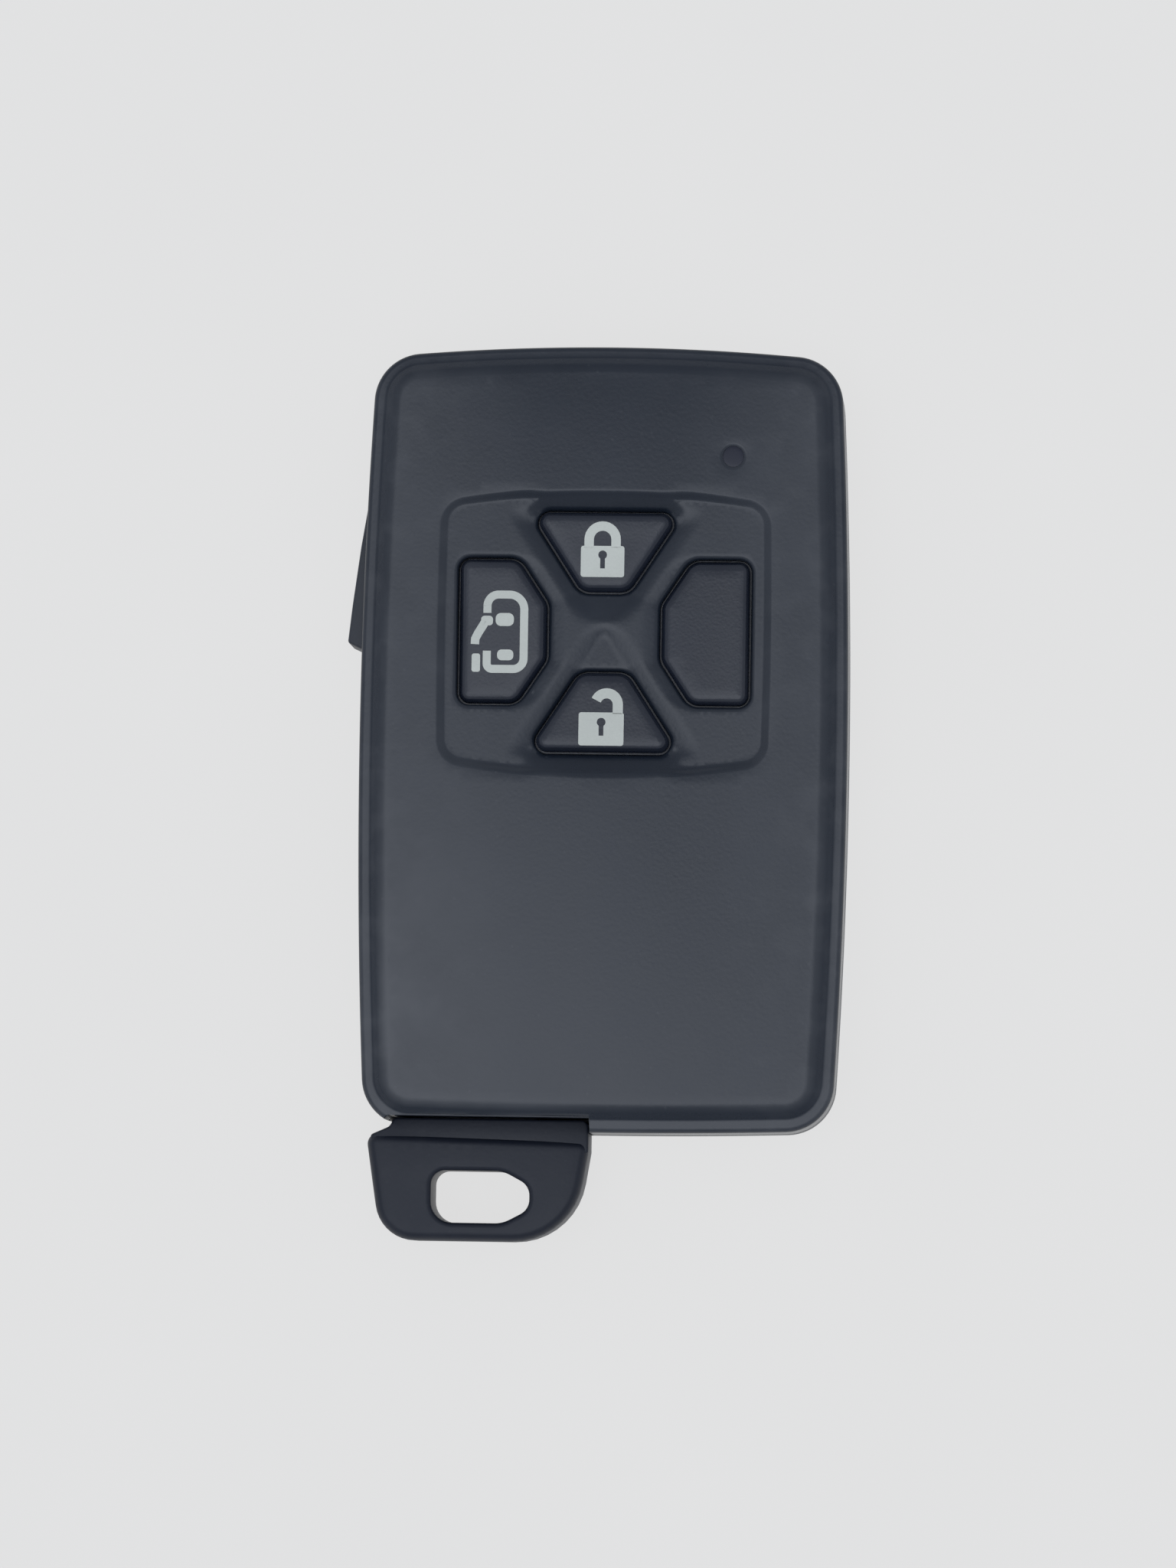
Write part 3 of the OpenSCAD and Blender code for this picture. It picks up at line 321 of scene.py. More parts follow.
class Shell:
    """A closed mesh built from rings of points, in millimetres."""
    # Rows of a fill lie row_step of its spacing apart, and keep rim_room of it clear of the rims.
    row_step = 0.87
    rim_room = 0.6

    def __init__(self):
        self.points = []
        self.faces = []
        self.wear = {}

    def ring(self, loop, wear=0.0):
        """A ring of points, with how much wear and painted highlight its edge gets."""
        first = len(self.points)
        self.points += [tuple(p) for p in loop]
        made = list(range(first, len(self.points)))
        self.wear.update(dict.fromkeys(made, wear))
        return made

    def lift(self, outline, height, wear=0.0):
        """A ring over a flat outline, at one height or at a height for each place."""
        return self.ring([(x, y, level(height, x, y)) for x, y in outline], wear)

    def bridge(self, *rings):
        """Joins each ring to the next with faces."""
        for low, high in zip(rings, rings[1:]):
            for k in range(len(low)):
                n = (k + 1) % len(low)
                self.faces.append((low[k], low[n], high[n], high[k]))

    def close(self, rings, *ends):
        """Joins rings and fills the first and the last, each with the height and the spacing of its end."""
        self.bridge(*rings)
        for ring, (height, spacing) in zip((rings[0], rings[-1]), ends):
            self.fill(ring, [], height, spacing)

    def fill(self, outer, holes, height, spacing):
        """Closes the room between an outer ring and the rings of its holes, at a height for each place."""
        loops = [outer, *holes]
        known = [k for loop in loops for k in loop]
        flat = numpy.array([self.points[k][:2] for k in known])
        edges, first = [], 0
        for loop in loops:
            edges += [(first + k, first + (k + 1) % len(loop)) for k in range(len(loop))]
            first += len(loop)
        rims = [[self.points[k][:2] for k in loop] for loop in loops]

        def covered(points):
            inside = within(points, rims[0])
            for rim in rims[1:]:
                inside &= ~within(points, rim)
            return inside

        low, high = flat.min(0), flat.max(0)
        grid = numpy.array([
            (x + spacing / 2 * (row % 2), y)
            for row, y in enumerate(numpy.arange(low[1], high[1], spacing * self.row_step))
            for x in numpy.arange(low[0], high[0], spacing)])
        grid = grid[covered(grid)]
        clear = [((flat - p) ** 2).sum(1).min() > (spacing * self.rim_room) ** 2 for p in grid]
        made = [Vector(p) for p in (*flat, *grid[clear])]
        places, lines, triangles, sources, origins, _ = delaunay_2d_cdt(made, edges, [], 0, 1e-5)
        walls = {frozenset(line) for line, origin in zip(lines, origins) if origin}
        sides = {}
        for n, triangle in enumerate(triangles):
            for side in triangle_sides(*triangle):
                sides.setdefault(side, []).append(n)
        corners = numpy.array([[places[k][:] for k in face] for face in triangles])
        u, w = corners[:, 1] - corners[:, 0], corners[:, 2] - corners[:, 0]
        areas = abs(u[:, 0] * w[:, 1] - u[:, 1] * w[:, 0]) * covered(corners.mean(1))
        queue = [int(areas.argmax())]
        kept = set(queue)
        while queue:
            for side in set(triangle_sides(*triangles[queue.pop()])) - walls:
                fresh = set(sides[side]) - kept
                kept |= fresh
                queue += fresh
        index = []
        for place, source in zip(places, sources):
            old = [k for k in source if k < len(known)]
            if old:
                index.append(known[old[0]])
            else:
                index.append(len(self.points))
                self.points.append((place.x, place.y, level(height, place.x, place.y)))
        self.faces += [tuple(index[k] for k in triangles[n]) for n in sorted(kept)]

    def object(self, name, sharp=SHELL_SHARP):
        """The mesh as an object, with its wear and painted highlight as an attribute."""
        mesh = bpy.data.meshes.new(name)
        mesh.from_pydata([(x * MM, y * MM, z * MM) for x, y, z in self.points], [], self.faces)
        worn_and_lit = mesh.attributes.new("edge_wear", "FLOAT", "POINT")
        worn_and_lit.data.foreach_set("value", [self.wear.get(k, 0.0) for k in range(len(self.points))])
        return tidy_mesh(new_object(name, mesh), sharp)


def new_object(name, data):
    """An object in the scene with its data."""
    piece = bpy.data.objects.new(name, data)
    bpy.context.scene.collection.objects.link(piece)
    return piece


def tidy_mesh(piece, sharp):
    """Merges a piece's doubled points, turns its faces outwards and shades it smooth between sharp edges."""
    work = bmesh.new()
    work.from_mesh(piece.data)
    bmesh.ops.remove_doubles(work, verts=work.verts, dist=2e-6)
    bmesh.ops.dissolve_degenerate(work, edges=work.edges, dist=1e-6)
    bmesh.ops.recalc_face_normals(work, faces=work.faces)
    for face in work.faces:
        face.smooth = True
    work.to_mesh(piece.data)
    work.free()
    piece.data.set_sharp_from_angle(angle=math.radians(sharp))
    return piece


def applied(piece):
    """The piece with its modifiers made part of its mesh."""
    bpy.context.view_layer.update()
    shaped = bpy.data.meshes.new_from_object(piece.evaluated_get(bpy.context.evaluated_depsgraph_get()))
    old = piece.data
    piece.modifiers.clear()
    if piece.type == "CURVE":
        name = piece.name
        bpy.data.objects.remove(piece)
        bpy.data.curves.remove(old)
        piece = new_object(name, shaped)
    else:
        piece.data = shaped
        bpy.data.meshes.remove(old)
    piece.data.name = piece.name
    return piece


def shaped_by(piece, build, values):
    """A piece as a geometry node tree makes it, with the tree's inputs set by their identifiers."""
    tree = shared_tree(build)
    modifier = piece.modifiers.new(tree.name, "NODES")
    modifier.node_group = tree
    for item in tree.interface.items_tree:
        if item.in_out == "INPUT" and item.name in values:
            modifier[item.identifier] = values[item.name]
    return tidy_mesh(applied(piece), SWEPT_SHARP)


def cut_away(piece, tool):
    """Takes a tool's room out of a piece."""
    modifier = piece.modifiers.new("cut", "BOOLEAN")
    modifier.operation, modifier.solver, modifier.object = "DIFFERENCE", "EXACT", tool
    piece = applied(piece)
    bpy.data.objects.remove(tool)
    return piece


def joined(name, pieces):
    """Several pieces as one mesh."""
    work = bmesh.new()
    for piece in pieces:
        work.from_mesh(piece.data)
        bpy.data.objects.remove(piece)
    mesh = bpy.data.meshes.new(name)
    work.to_mesh(mesh)
    work.free()
    return new_object(name, mesh)


def prism(name, corners, low, high, bevel=0.0):
    """An upright block over a polygon, with its edges rounded by bevel."""
    shell = Shell()
    foot, top = shell.lift(corners, low), shell.lift(corners, high)
    shell.bridge(foot, top)
    shell.faces += [tuple(foot), tuple(top)]
    block = shell.object(name)
    if bevel:
        modifier = block.modifiers.new("edges", "BEVEL")
        modifier.width, modifier.segments, modifier.limit_method = bevel * MM, 3, "ANGLE"
        modifier.angle_limit = math.radians(20)
        block = tidy_mesh(applied(block), SWEPT_SHARP)
    return block


def dress(piece, material):
    """Gives a piece its one material."""
    piece.data.materials.clear()
    piece.data.materials.append(material)


def place_piece(piece, material, body, node=None):
    """Gives a piece its finish, lets it move with its body and has it stand in for a node."""
    dress(piece, material)
    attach(piece, body)
    if node:
        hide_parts(node)
    return piece


# Room round the lever in its window: below it and above it along the case, and over and under it.
WINDOW_BELOW, WINDOW_ABOVE, WINDOW_GAP = 0.75, 0.6, 0.2
# The key notch: where it starts from the head's left side, its gap, its back wall and the gap under the head.
NOTCH_START, NOTCH_GAP, NOTCH_WALL, NOTCH_UNDER = 2.0, 0.05, 1.25, 0.25
# Marks on both sides of a cut, how far from the case's side and end a cut can lie, and the least corner.
CUT_MARKS = (-0.016, -0.002, 0.002, 0.016)
SIDE_REACH, END_REACH, LEAST_CORNER = 4, 5, 0.4


class CasePlan:
    """The outline of the case, with the key notch and the lever's window."""

    def __init__(self, scene):
        self.size = size = in_mm(scene.fob_case)
        key = in_mm(scene.fob_key)
        self.half_w, self.half_l = size.width / 2, size.length / 2
        lever_low, lever_high = node_box("release_lever")
        self.window = (lever_low[1] - WINDOW_BELOW, lever_high[1] + WINDOW_ABOVE)
        self.window_floor = lever_low[2] - WINDOW_GAP
        self.window_roof = lever_high[2] + WINDOW_GAP
        self.notch = (key.left + NOTCH_START, key.right + NOTCH_GAP)
        self.notch_y, self.notch_back = key.notch, key.notch + NOTCH_WALL
        self.notch_floor = key.base + NOTCH_UNDER
        reach = self.half_w - size.side_bow - size.corner
        side_low = -(self.half_l - size.bottom_bow - size.corner)
        side_high = self.half_l - size.top_bow - size.corner
        middle, half = (side_low + side_high) / 2, (side_high - side_low) / 2
        lean = 2 * size.side_bow * size.corner / half
        self.left_marks = [(middle - y) / (half + lean) + d for y in self.window for d in CUT_MARKS[1:3]]
        self.bottom_marks = [self.notch[1] / reach + d for d in CUT_MARKS]
        edge, side, end = self.outline(0), SIDE_REACH - self.half_w, END_REACH - self.half_l
        self.at_window = [x < side and self.window[0] < y < self.window[1] for x, y in edge]
        self.at_notch = [y < end and self.notch[0] < x < self.notch[1] for x, y in edge]

    def outline(self, inset):
        """The case's outline, moved inwards by inset."""
        size = self.size
        return bowed_outline(self.half_w - inset, self.half_l - inset, size.side_bow, size.top_bow,
                             size.bottom_bow, max(size.corner - inset, LEAST_CORNER), self.left_marks,
                             self.bottom_marks)

    def ring(self, inset, z, back=None, roof=None, floor=None):
        """A ring of the case; back holds it behind the notch, roof over the window and floor under it."""
        ring = []
        for (x, y), window, notch in zip(self.outline(inset), self.at_window, self.at_notch):
            height = z
            if window and roof is not None:
                height = max(z, roof)
            if window and floor is not None:
                height = min(z, floor)
            ring.append((x, max(y, back) if notch and back is not None else y, height))
        return ring

    def crown(self, x, y):
        """Height of the swelling face."""
        size = self.size
        half = self.half_w - size.side_bow * (y / self.half_l) ** 2 - size.ledge - size.shoulder
        end = self.half_l - size.ledge - size.shoulder
        swell = (1 - (x / half) ** 2) * (1 - (y / end) ** 4)
        return size.face + size.crown * swell


# Openings of the button cross about its middle, as corners and their radii.
FORE = ([(-2.1, 3.3), (2.1, 3.3), (6.65, 10.3), (-6.65, 10.3)], [1.6, 1.6, 1.05, 1.05])
FLANK = ([(-12.4, -6.25), (-7.25, -6.25), (-4.7, -2.4), (-4.7, 2.4), (-7.25, 6.25), (-12.4, 6.25)],
         [1.05, 1.6, 1.6, 1.6, 1.6, 1.05])
# Each button's opening, and how it is turned over along X and along Y.
PLACES = {"lock": (FORE, 1, 1), "unlock": (FORE, 1, -1), "door": (FLANK, 1, 1), "blank": (FLANK, -1, 1)}
# The longest side in an opening's outline, the bow of the panel's sides and its shift from the middle.
OPENING_STEP, PANEL_SIDE_BOW, PANEL_SHIFT = 0.6, 0.1, -0.07


def opening(name, panel, grow):
    """Outline of a button opening, moved outwards by grow."""
    (corners, radii), turn_x, turn_y = PLACES[name]
    loop = [(x * turn_x, panel.middle + y * turn_y) for x, y in filleted(corners, radii, grow)]
    return spaced(loop if turn_x * turn_y > 0 else loop[::-1], OPENING_STEP)


def panel_outline(panel, grow):
    """Outline of the sunk panel, moved outwards by grow."""
    loop = bowed_outline(panel.width / 2 + grow, panel.height / 2 + grow, PANEL_SIDE_BOW, panel.bow,
                         panel.bow, panel.corner + grow)
    return [(x, y + panel.middle + PANEL_SHIFT) for x, y in loop]


def beside(place, start, end):
    """Distance from a place to a straight edge."""
    place, along = Vector(place) - Vector(start), Vector(end) - Vector(start)
    return (place - along * held(place.dot(along) / along.dot(along))).length


# Depths of the dips as shares of the deepest: beside the lock and unlock buttons, beside the other two, in
# the hollows of the lock and the unlock button, and on the ramp at their outer edges.
SLOPE_SHARE, FLANK_SHARE, LOCK_SHARE, UNLOCK_SHARE, RAMP_SHARE = 0.6, 0.42, 0.8, 0.5, 0.85
# How sharply the dips fade; the ramp's fall, its least share and the widths over which it comes in.
DIP_FADE, RAMP_FALL, RAMP_LEAST, RAMP_SIDE, RAMP_START = 1.4, 1.05, -0.95, 1.2, 0.7
# Where the two hollows meet, over what length one turns into the other, and how far past the tip they end.
HOLLOWS_MEET, HOLLOWS_BLEND, HOLLOW_END = 0.95, 1.5, 1.2
# Where the lock button's hollow starts, its length and how it bends.
LOCK_START, LOCK_LENGTH, LOCK_BEND = 0.7, 2.6, 1.3
# How far past the buttons' corners the slopes and the ramp end, and over what length the slopes fade.
SLOPE_PAST, SLOPE_BLEND, FLANK_PAST, FLANK_BLEND, RAMP_PAST = 0.6, 2, 0.35, 1.6, 0.1


def dip_depth(panel, x, y):
    """How far the panel's floor sinks: from ridges midway between the buttons into a hollow at the tips of
    the lock and unlock buttons, with a ramp up from the outer edge of each."""
    u, v = abs(x), abs(y - panel.middle)
    tip, end = FORE[0][1], FORE[0][2]
    near, far = ((-FLANK[0][k][0], FLANK[0][k][1]) for k in (3, 4))

    def fade(distance):
        return max(0.0, 1 - distance / panel.dip_reach) ** DIP_FADE

    slope = SLOPE_SHARE * fade(beside((u, v), tip, end)) * soft((end[1] + SLOPE_PAST - v) / SLOPE_BLEND)
    flank = fade(min(beside((u, v), (near[0], 0), near), beside((u, v), near, far)))
    flank *= FLANK_SHARE * soft((far[1] + FLANK_PAST - v) / FLANK_BLEND)
    spread = fade(beside((u, v), (0, 0), tip)) if u * tip[1] > v * tip[0] else 1.0
    if y > panel.middle:
        hollow = min(LOCK_SHARE, held((v - LOCK_START) / LOCK_LENGTH) ** LOCK_BEND) * spread
        meet = UNLOCK_SHARE * soft((HOLLOWS_MEET - v) / HOLLOWS_BLEND) * fade(math.hypot(u, v))
        hollow = max(hollow, meet)
    else:
        hollow = UNLOCK_SHARE * soft((v + HOLLOWS_MEET) / HOLLOWS_BLEND) * spread
    hollow *= soft((tip[1] + HOLLOW_END - v) / HOLLOW_END)
    ramp = max(RAMP_LEAST, RAMP_SHARE - RAMP_FALL * max(0.0, v - end[1]))
    share = soft((end[0] + RAMP_PAST - u) / RAMP_SIDE) * soft((v - end[1] + RAMP_START) / RAMP_START)
    return panel.dip * (share * ramp + (1 - share) * max(hollow, slope, flank))


# The indicator: its place, the radius of its hole, the height of its foot and the spacing of its two fills;
# the hole's rim as growth and drop, and the dome as radius and depth under the face.
LENS_PLACE, LENS_HOLE, LENS_FOOT, LENS_FOOT_MESH, LENS_MESH = (10.7, 23.9), 0.9, 8.9, 0.5, 0.2
LENS_RIM = ((0.3, 0.0), (0.2, 0.012), (0.1, 0.04), (0.0, 0.09))
LENS_DOME = ((0.885, 0.11), (0.82, 0.1), (0.68, 0.09), (0.5, 0.085), (0.3, 0.08))
# The front cover: extra wall under the shoulder, shift of the face, and the crease as distance and height.
EXTRA_WALL, FACE_SHIFT, CREASE = 0.55, 0.1, ((0.12, -0.01), (0.04, 0.01))
# Parts round the ledge and the key head's edges, over the shoulder, in the panel's step, round an opening's
# lip and round the back.
EDGE_PARTS, SHOULDER_PARTS, STEP_PARTS, LIP_PARTS, BACK_PARTS = 7, 8, 8, 5, 8
# Rings on the shoulder's straight slope: the first in millimetres, the others as shares of the slope.
SHOULDER_START, SLOPE_PLACES = 0.06, (0.3, 0.6)
# How much wear and painted highlight an edge gets: by each step round the ledge, in the crease, and by each
# step over the shoulder.
LEDGE_WEAR_AND_HIGHLIGHT, CREASE_WEAR_AND_HIGHLIGHT, SHOULDER_WEAR_AND_HIGHLIGHT = 0.17, 1.2, 0.06
# Spacing of the points in the face, the panel, the buttons and their feet, the key head and its foot, and in
# hidden faces.
FACE_MESH, PANEL_MESH, BUTTON_MESH, BUTTON_FOOT_MESH = 0.9, 0.3, 0.8, 2.0
HEAD_MESH, HEAD_FOOT_MESH, HIDDEN_MESH = 0.6, 1.2, 3.0


def cover_rings(plan):
    """Rings of the front cover from its underside over its wall and its rim to the face, and their wear and
    painted highlight.
    """
    size = plan.size
    roof, notch, back = plan.window_roof, plan.notch_y, plan.notch_back
    inner_wall = size.ledge + size.shoulder + EXTRA_WALL
    side_top = size.ledge_height - size.wall
    rings = [
        plan.ring(inner_wall, size.ceiling, back),
        plan.ring(inner_wall, side_top, back),
        plan.ring(size.wall, side_top, back),
        plan.ring(size.wall, size.split, back, roof),
        plan.ring(size.seam, size.split, notch, roof),
        plan.ring(0.0, size.split + size.seam, notch, roof + size.seam)]
    worn_and_lit = [0.0] * len(rings)
    for k, (inset, drop) in enumerate(rounding(EDGE_PARTS)):
        rings.append(plan.ring(size.draft + size.ledge_round * inset,
                               size.ledge_height - size.ledge_round * drop, notch))
        worn_and_lit.append(LEDGE_WEAR_AND_HIGHLIGHT * k)
    face = [plan.ring(size.ledge - before, size.ledge_height + rise, notch) for before, rise in CREASE]
    worn_and_lit += [CREASE_WEAR_AND_HIGHLIGHT] * len(CREASE)
    steep = (size.face - size.ledge_height) / (size.shoulder - size.shoulder_round / 2)
    straight = size.shoulder - size.shoulder_round
    climb = [SHOULDER_START, *(share * straight for share in SLOPE_PLACES)]
    worn_and_lit += [0.0] * (len(climb) + 1)
    climb += [straight + size.shoulder_round * k / SHOULDER_PARTS for k in range(SHOULDER_PARTS)]
    worn_and_lit += [SHOULDER_WEAR_AND_HIGHLIGHT * k for k in range(1, SHOULDER_PARTS + 1)]
    for t in climb:
        bent = max(0.0, t - straight) ** 2 / 2 / size.shoulder_round
        face.append(plan.ring(size.ledge + t, size.ledge_height + steep * (t - bent), notch))
    face.append([(x, y, plan.crown(x, y)) for x, y, _ in plan.ring(size.ledge + size.shoulder, 0, notch)])
    rings += [[(x, y + FACE_SHIFT, z) for x, y, z in loop] for loop in face]
    return zip(rings, worn_and_lit)


def front_cover_piece(scene):
    """The front cover: stepped rim, swelling face, sunk panel and its openings."""
    plan, panel = CasePlan(scene), in_mm(scene.fob_panel)
    size, shell = plan.size, Shell()
    rings = [shell.ring(loop, wear) for loop, wear in cover_rings(plan)]
    shell.bridge(*rings)

    def panel_floor(x, y):
        return panel.level - dip_depth(panel, x, y)

    def step_height(share):
        return lambda x, y: plan.crown(x, y) * (1 - share) + panel_floor(x, y) * share

    shares = [k / STEP_PARTS for k in range(STEP_PARTS + 1)]
    steps = [shell.lift(panel_outline(panel, panel.step * (0.5 - share)), step_height(soft(share)))
             for share in shares]
    shell.bridge(*steps)
    mouths, feet = [], []
    for name in PLACES:
        walls = [shell.lift(opening(name, panel, panel.lip * drop), shifted(panel_floor, -panel.lip * inset))
                 for inset, drop in rounding(LIP_PARTS)]
        walls.append(shell.lift(opening(name, panel, 0), size.ceiling))
        shell.bridge(*walls)
        mouths.append(walls[0])
        feet.append(walls[-1])
    rims = [shell.lift(circle(LENS_PLACE, LENS_HOLE + grow), shifted(plan.crown, -drop))
            for grow, drop in LENS_RIM]
    rims.append(shell.lift(circle(LENS_PLACE, LENS_HOLE), size.ceiling))
    shell.bridge(*rims)
    shell.fill(rings[-1], [steps[0], rims[0]], plan.crown, FACE_MESH)
    shell.fill(steps[-1], mouths, panel_floor, PANEL_MESH)
    shell.fill(rings[0], [*feet, rims[-1]], size.ceiling, HIDDEN_MESH)
    return shell.object("front_cover_moulding")


# The slot for the key: half its width, how far it cuts past the wall, its floor over the notch's, and its top
# under the parting line. The notch's wall starts a small step over its floor.
SLOT_HALF, SLOT_PAST, SLOT_FLOOR, SLOT_TOP, NOTCH_STEP = 5.15, 1, 0.15, 0.4, 0.02


def rear_cover_piece(scene):
    """The rear cover: a tray with a rounded back, the floor of the key notch and the slot for the key."""
    plan = CasePlan(scene)
    size, shell = plan.size, Shell()
    notch, back, floor = plan.notch_y, plan.notch_back, plan.window_floor
    last = math.acos(1 - plan.notch_floor / size.back_round)
    rings = [plan.ring(size.back_round * drop, size.back_round * inset)
             for inset, drop in rounding(BACK_PARTS, last)]
    rings += [
        plan.ring(0, plan.notch_floor + NOTCH_STEP, notch),
        plan.ring(0, size.split - size.seam, notch, floor=floor - size.seam),
        plan.ring(size.seam, size.split, notch, floor=floor),
        plan.ring(size.wall, size.split, back, floor=floor),
        plan.ring(size.wall, size.floor, back)]
    shell.close([shell.ring(loop) for loop in rings], (0.0, HIDDEN_MESH), (size.floor, HIDDEN_MESH))
    low, high = node_box("key_blade")
    middle, start, end = (low[0] + high[0]) / 2, notch - SLOT_PAST, back + SLOT_PAST
    left, right = middle - SLOT_HALF, middle + SLOT_HALF
    slot = prism("slot", [(left, start), (right, start), (right, end), (left, end)],
                 plan.notch_floor + SLOT_FLOOR, size.split - SLOT_TOP)
    return tidy_mesh(cut_away(shell.object("rear_cover_moulding"), slot), SHELL_SHARP)


# Where the button faces start from the cross's middle and how far they reach.
FORE_START, FORE_REACH, FLANK_START, FLANK_REACH = 3.3, 7.0, 4.7, 7.7
# How a face is dished and its outer edge stands up, and how much of that the unlock button has.
FACE_DISH, EDGE_STAND, UNLOCK_DISH = 0.1, 0.14, 0.3
# How far the door button and the plug lie under the others, their tilt along the case, and the door's lean.
DOOR_SUNK, DOOR_TILT, DOOR_LEAN, PLUG_SUNK, PLUG_TILT = 0.21, 0.033, 0.12, 0.08, 0.012
# A button's hidden flange: width, top and gap to the opening; the foot of its sides under the panel.
FLANGE, FLANGE_TOP, FLANGE_GAP, SKIRT_DEPTH = 0.35, 9.5, 0.03, 1.1
# A button's side from foot to face, as shares of its width and height: steep, then turning quickly.
STEEP_SIDE = ((0, 1), (0.3, 0.62), (0.62, 0.22), (0.72, 0.125), (0.85, 0.055), (1, 0.02))
# The side's height, the bevel's fall as a share of its width, the places of its rings and how it bends.
SIDE_HEIGHT, BEVEL_FALL, BEVEL_STEPS, BEVEL_BEND = 0.6, 0.17, (0.1, 0.35, 0.65, 1.0), 1.3
# Wear and painted highlight along a button's edge: how much, how far in from the side it is greatest, and
# its spread.
BUTTON_WEAR_AND_HIGHLIGHT, WEAR_AND_HIGHLIGHT_PLACE, WEAR_AND_HIGHLIGHT_SPREAD = 0.6, 0.1, 0.22


def button_face(panel, name, x, y):
    """Height of a button's face: dished towards the middle with its outer edge standing up, except the door
    button, which leans outwards and to the key end."""
    along, part = y - panel.middle, (abs(x) - FLANK_START) / FLANK_REACH
    if name == "door":
        return panel.button_top - DOOR_SUNK + DOOR_TILT * along - DOOR_LEAN * part
    if name in ("lock", "unlock"):
        part = (abs(along) - FORE_START) / FORE_REACH
    share = UNLOCK_DISH if name == "unlock" else 1.0
    face = panel.button_top - share * (FACE_DISH * (1 - part) + EDGE_STAND * (1 - part ** 6))
    return face - PLUG_SUNK - PLUG_TILT * along if name == "blank" else face


def face_of(panel, name):
    """The height of one button's face, for each place."""
    return lambda x, y: button_face(panel, name, x, y)


def button_piece(scene, name):
    """A button with its hidden flange, steep sides and gently bevelled face."""
    panel, shell = in_mm(scene.fob_panel), Shell()
    face, skirt = face_of(panel, name), panel.level - SKIRT_DEPTH
    base = [(FLANGE, panel.button_foot), (FLANGE, FLANGE_TOP), (-FLANGE_GAP, FLANGE_TOP),
            (-FLANGE_GAP, skirt), (-panel.gap, skirt)]
    rings = [shell.lift(opening(name, panel, grow), height) for grow, height in base]
    lower = BEVEL_FALL * panel.bevel
    profile = [(panel.side_round * across, lower + SIDE_HEIGHT * down) for across, down in STEEP_SIDE]
    profile += [(panel.side_round + panel.bevel * t, lower * (1 - t) ** BEVEL_BEND) for t in BEVEL_STEPS]
    for inset, drop in profile:
        # The bevel turns paler by wear and by painted highlight.
        wear = BUTTON_WEAR_AND_HIGHLIGHT * math.exp(-((inset - panel.side_round - WEAR_AND_HIGHLIGHT_PLACE) / WEAR_AND_HIGHLIGHT_SPREAD) ** 2)
        rings.append(shell.lift(opening(name, panel, -panel.gap - inset), shifted(face, -drop), wear))
    shell.close(rings, (panel.button_foot, BUTTON_FOOT_MESH), (face, BUTTON_MESH))
    return shell.object(name + ("_plug_moulding" if name == "blank" else "_button_moulding"))


# The icons' height over the faces and depth under them, and the spacing of their edges and their fill.
ICON_RISE, ICON_SUNK, ICON_STEP, ICON_MESH = 0.025, 0.1, 0.35, 0.5
# The two padlocks: their middle, body, keyhole, shackle and the width of its line.
SHUT_PADLOCK = SimpleNamespace(x=-0.21, low=13.54, high=16.18, width=3.68, hole=15.42, line=0.8, shackle=[
    (-1.37, 16.0), *bend((-0.23, 16.72), 1.14, 180, 0), (0.91, 16.0)])
OPEN_PADLOCK = SimpleNamespace(x=-0.1, low=-0.76, high=2.05, width=3.81, hole=1.23, line=0.86, shackle=[
    (1.285, 1.95), *bend((0.335, 2.725), 0.95, 0, 158)])
# A padlock's corner radius; its keyhole's radius, half the slot's width, and the slot's end under the middle.
PADLOCK_CORNER, HOLE_R, HOLE_SLOT, HOLE_LENGTH = 0.22, 0.37, 0.2, 1.15


def icon_plate(name, face, outline, holes=()):
    """A flat printed shape that lies on a button's face."""
    shell = Shell()
    loops = [spaced(loop, ICON_STEP) for loop in (outline, *holes)]
    high, low = shifted(face, ICON_RISE), shifted(face, -ICON_SUNK)
    tops, feet = ([shell.lift(loop, height) for loop in loops] for height in (high, low))
    for foot, top in zip(feet, tops):
        shell.bridge(foot, top)
    shell.fill(tops[0], tops[1:], high, ICON_MESH)
    shell.fill(feet[0], feet[1:], low, ICON_MESH)
    return shell.object(name)


def icon_stroke(name, face, path, width, material):
    """A printed line of one width along a path."""
    curve = bpy.data.curves.new(name, "CURVE")
    curve.dimensions = "3D"
    spline = curve.splines.new("POLY")
    spline.points.add(len(path) - 1)
    middle = (ICON_RISE - ICON_SUNK) / 2
    for point, (x, y) in zip(spline.points, path):
        point.co = (x * MM, y * MM, (face(x, y) + middle) * MM, 1)
    return shaped_by(new_object(name, curve), printed_line, {
        "Width": width * MM, "Thickness": (ICON_RISE + ICON_SUNK) * MM, "Finish": material})


def box_loop(x, y, w, h, r):
    """A rounded rectangle about a middle."""
    left, right, low, high = x - w / 2, x + w / 2, y - h / 2, y + h / 2
    return filleted([(left, low), (right, low), (right, high), (left, high)], [r] * 4, 0, 6)


def keyhole(x, y, r, slot, low, steps=20):
    """Outline of a keyhole: a round hole with a straight slot below it."""
    side = math.asin(slot / r)
    first = side - math.pi / 2
    hole = on_circle((x, y), r, turning(first, first + math.tau - 2 * side, steps))
    return hole + [(x - slot, low), (x + slot, low)]


def padlock_icon(name, face, lock, material):
    """A padlock: its body with a keyhole, and the shackle as a line."""
    hole = keyhole(lock.x, lock.hole, HOLE_R, HOLE_SLOT, lock.hole - HOLE_LENGTH)
    outline = box_loop(lock.x, (lock.low + lock.high) / 2, lock.width, lock.high - lock.low, PADLOCK_CORNER)
    return joined(name, [icon_plate(name + "_body", face, outline, [hole]),
                         icon_stroke(name + "_shackle", face, lock.shackle, lock.line, material)])


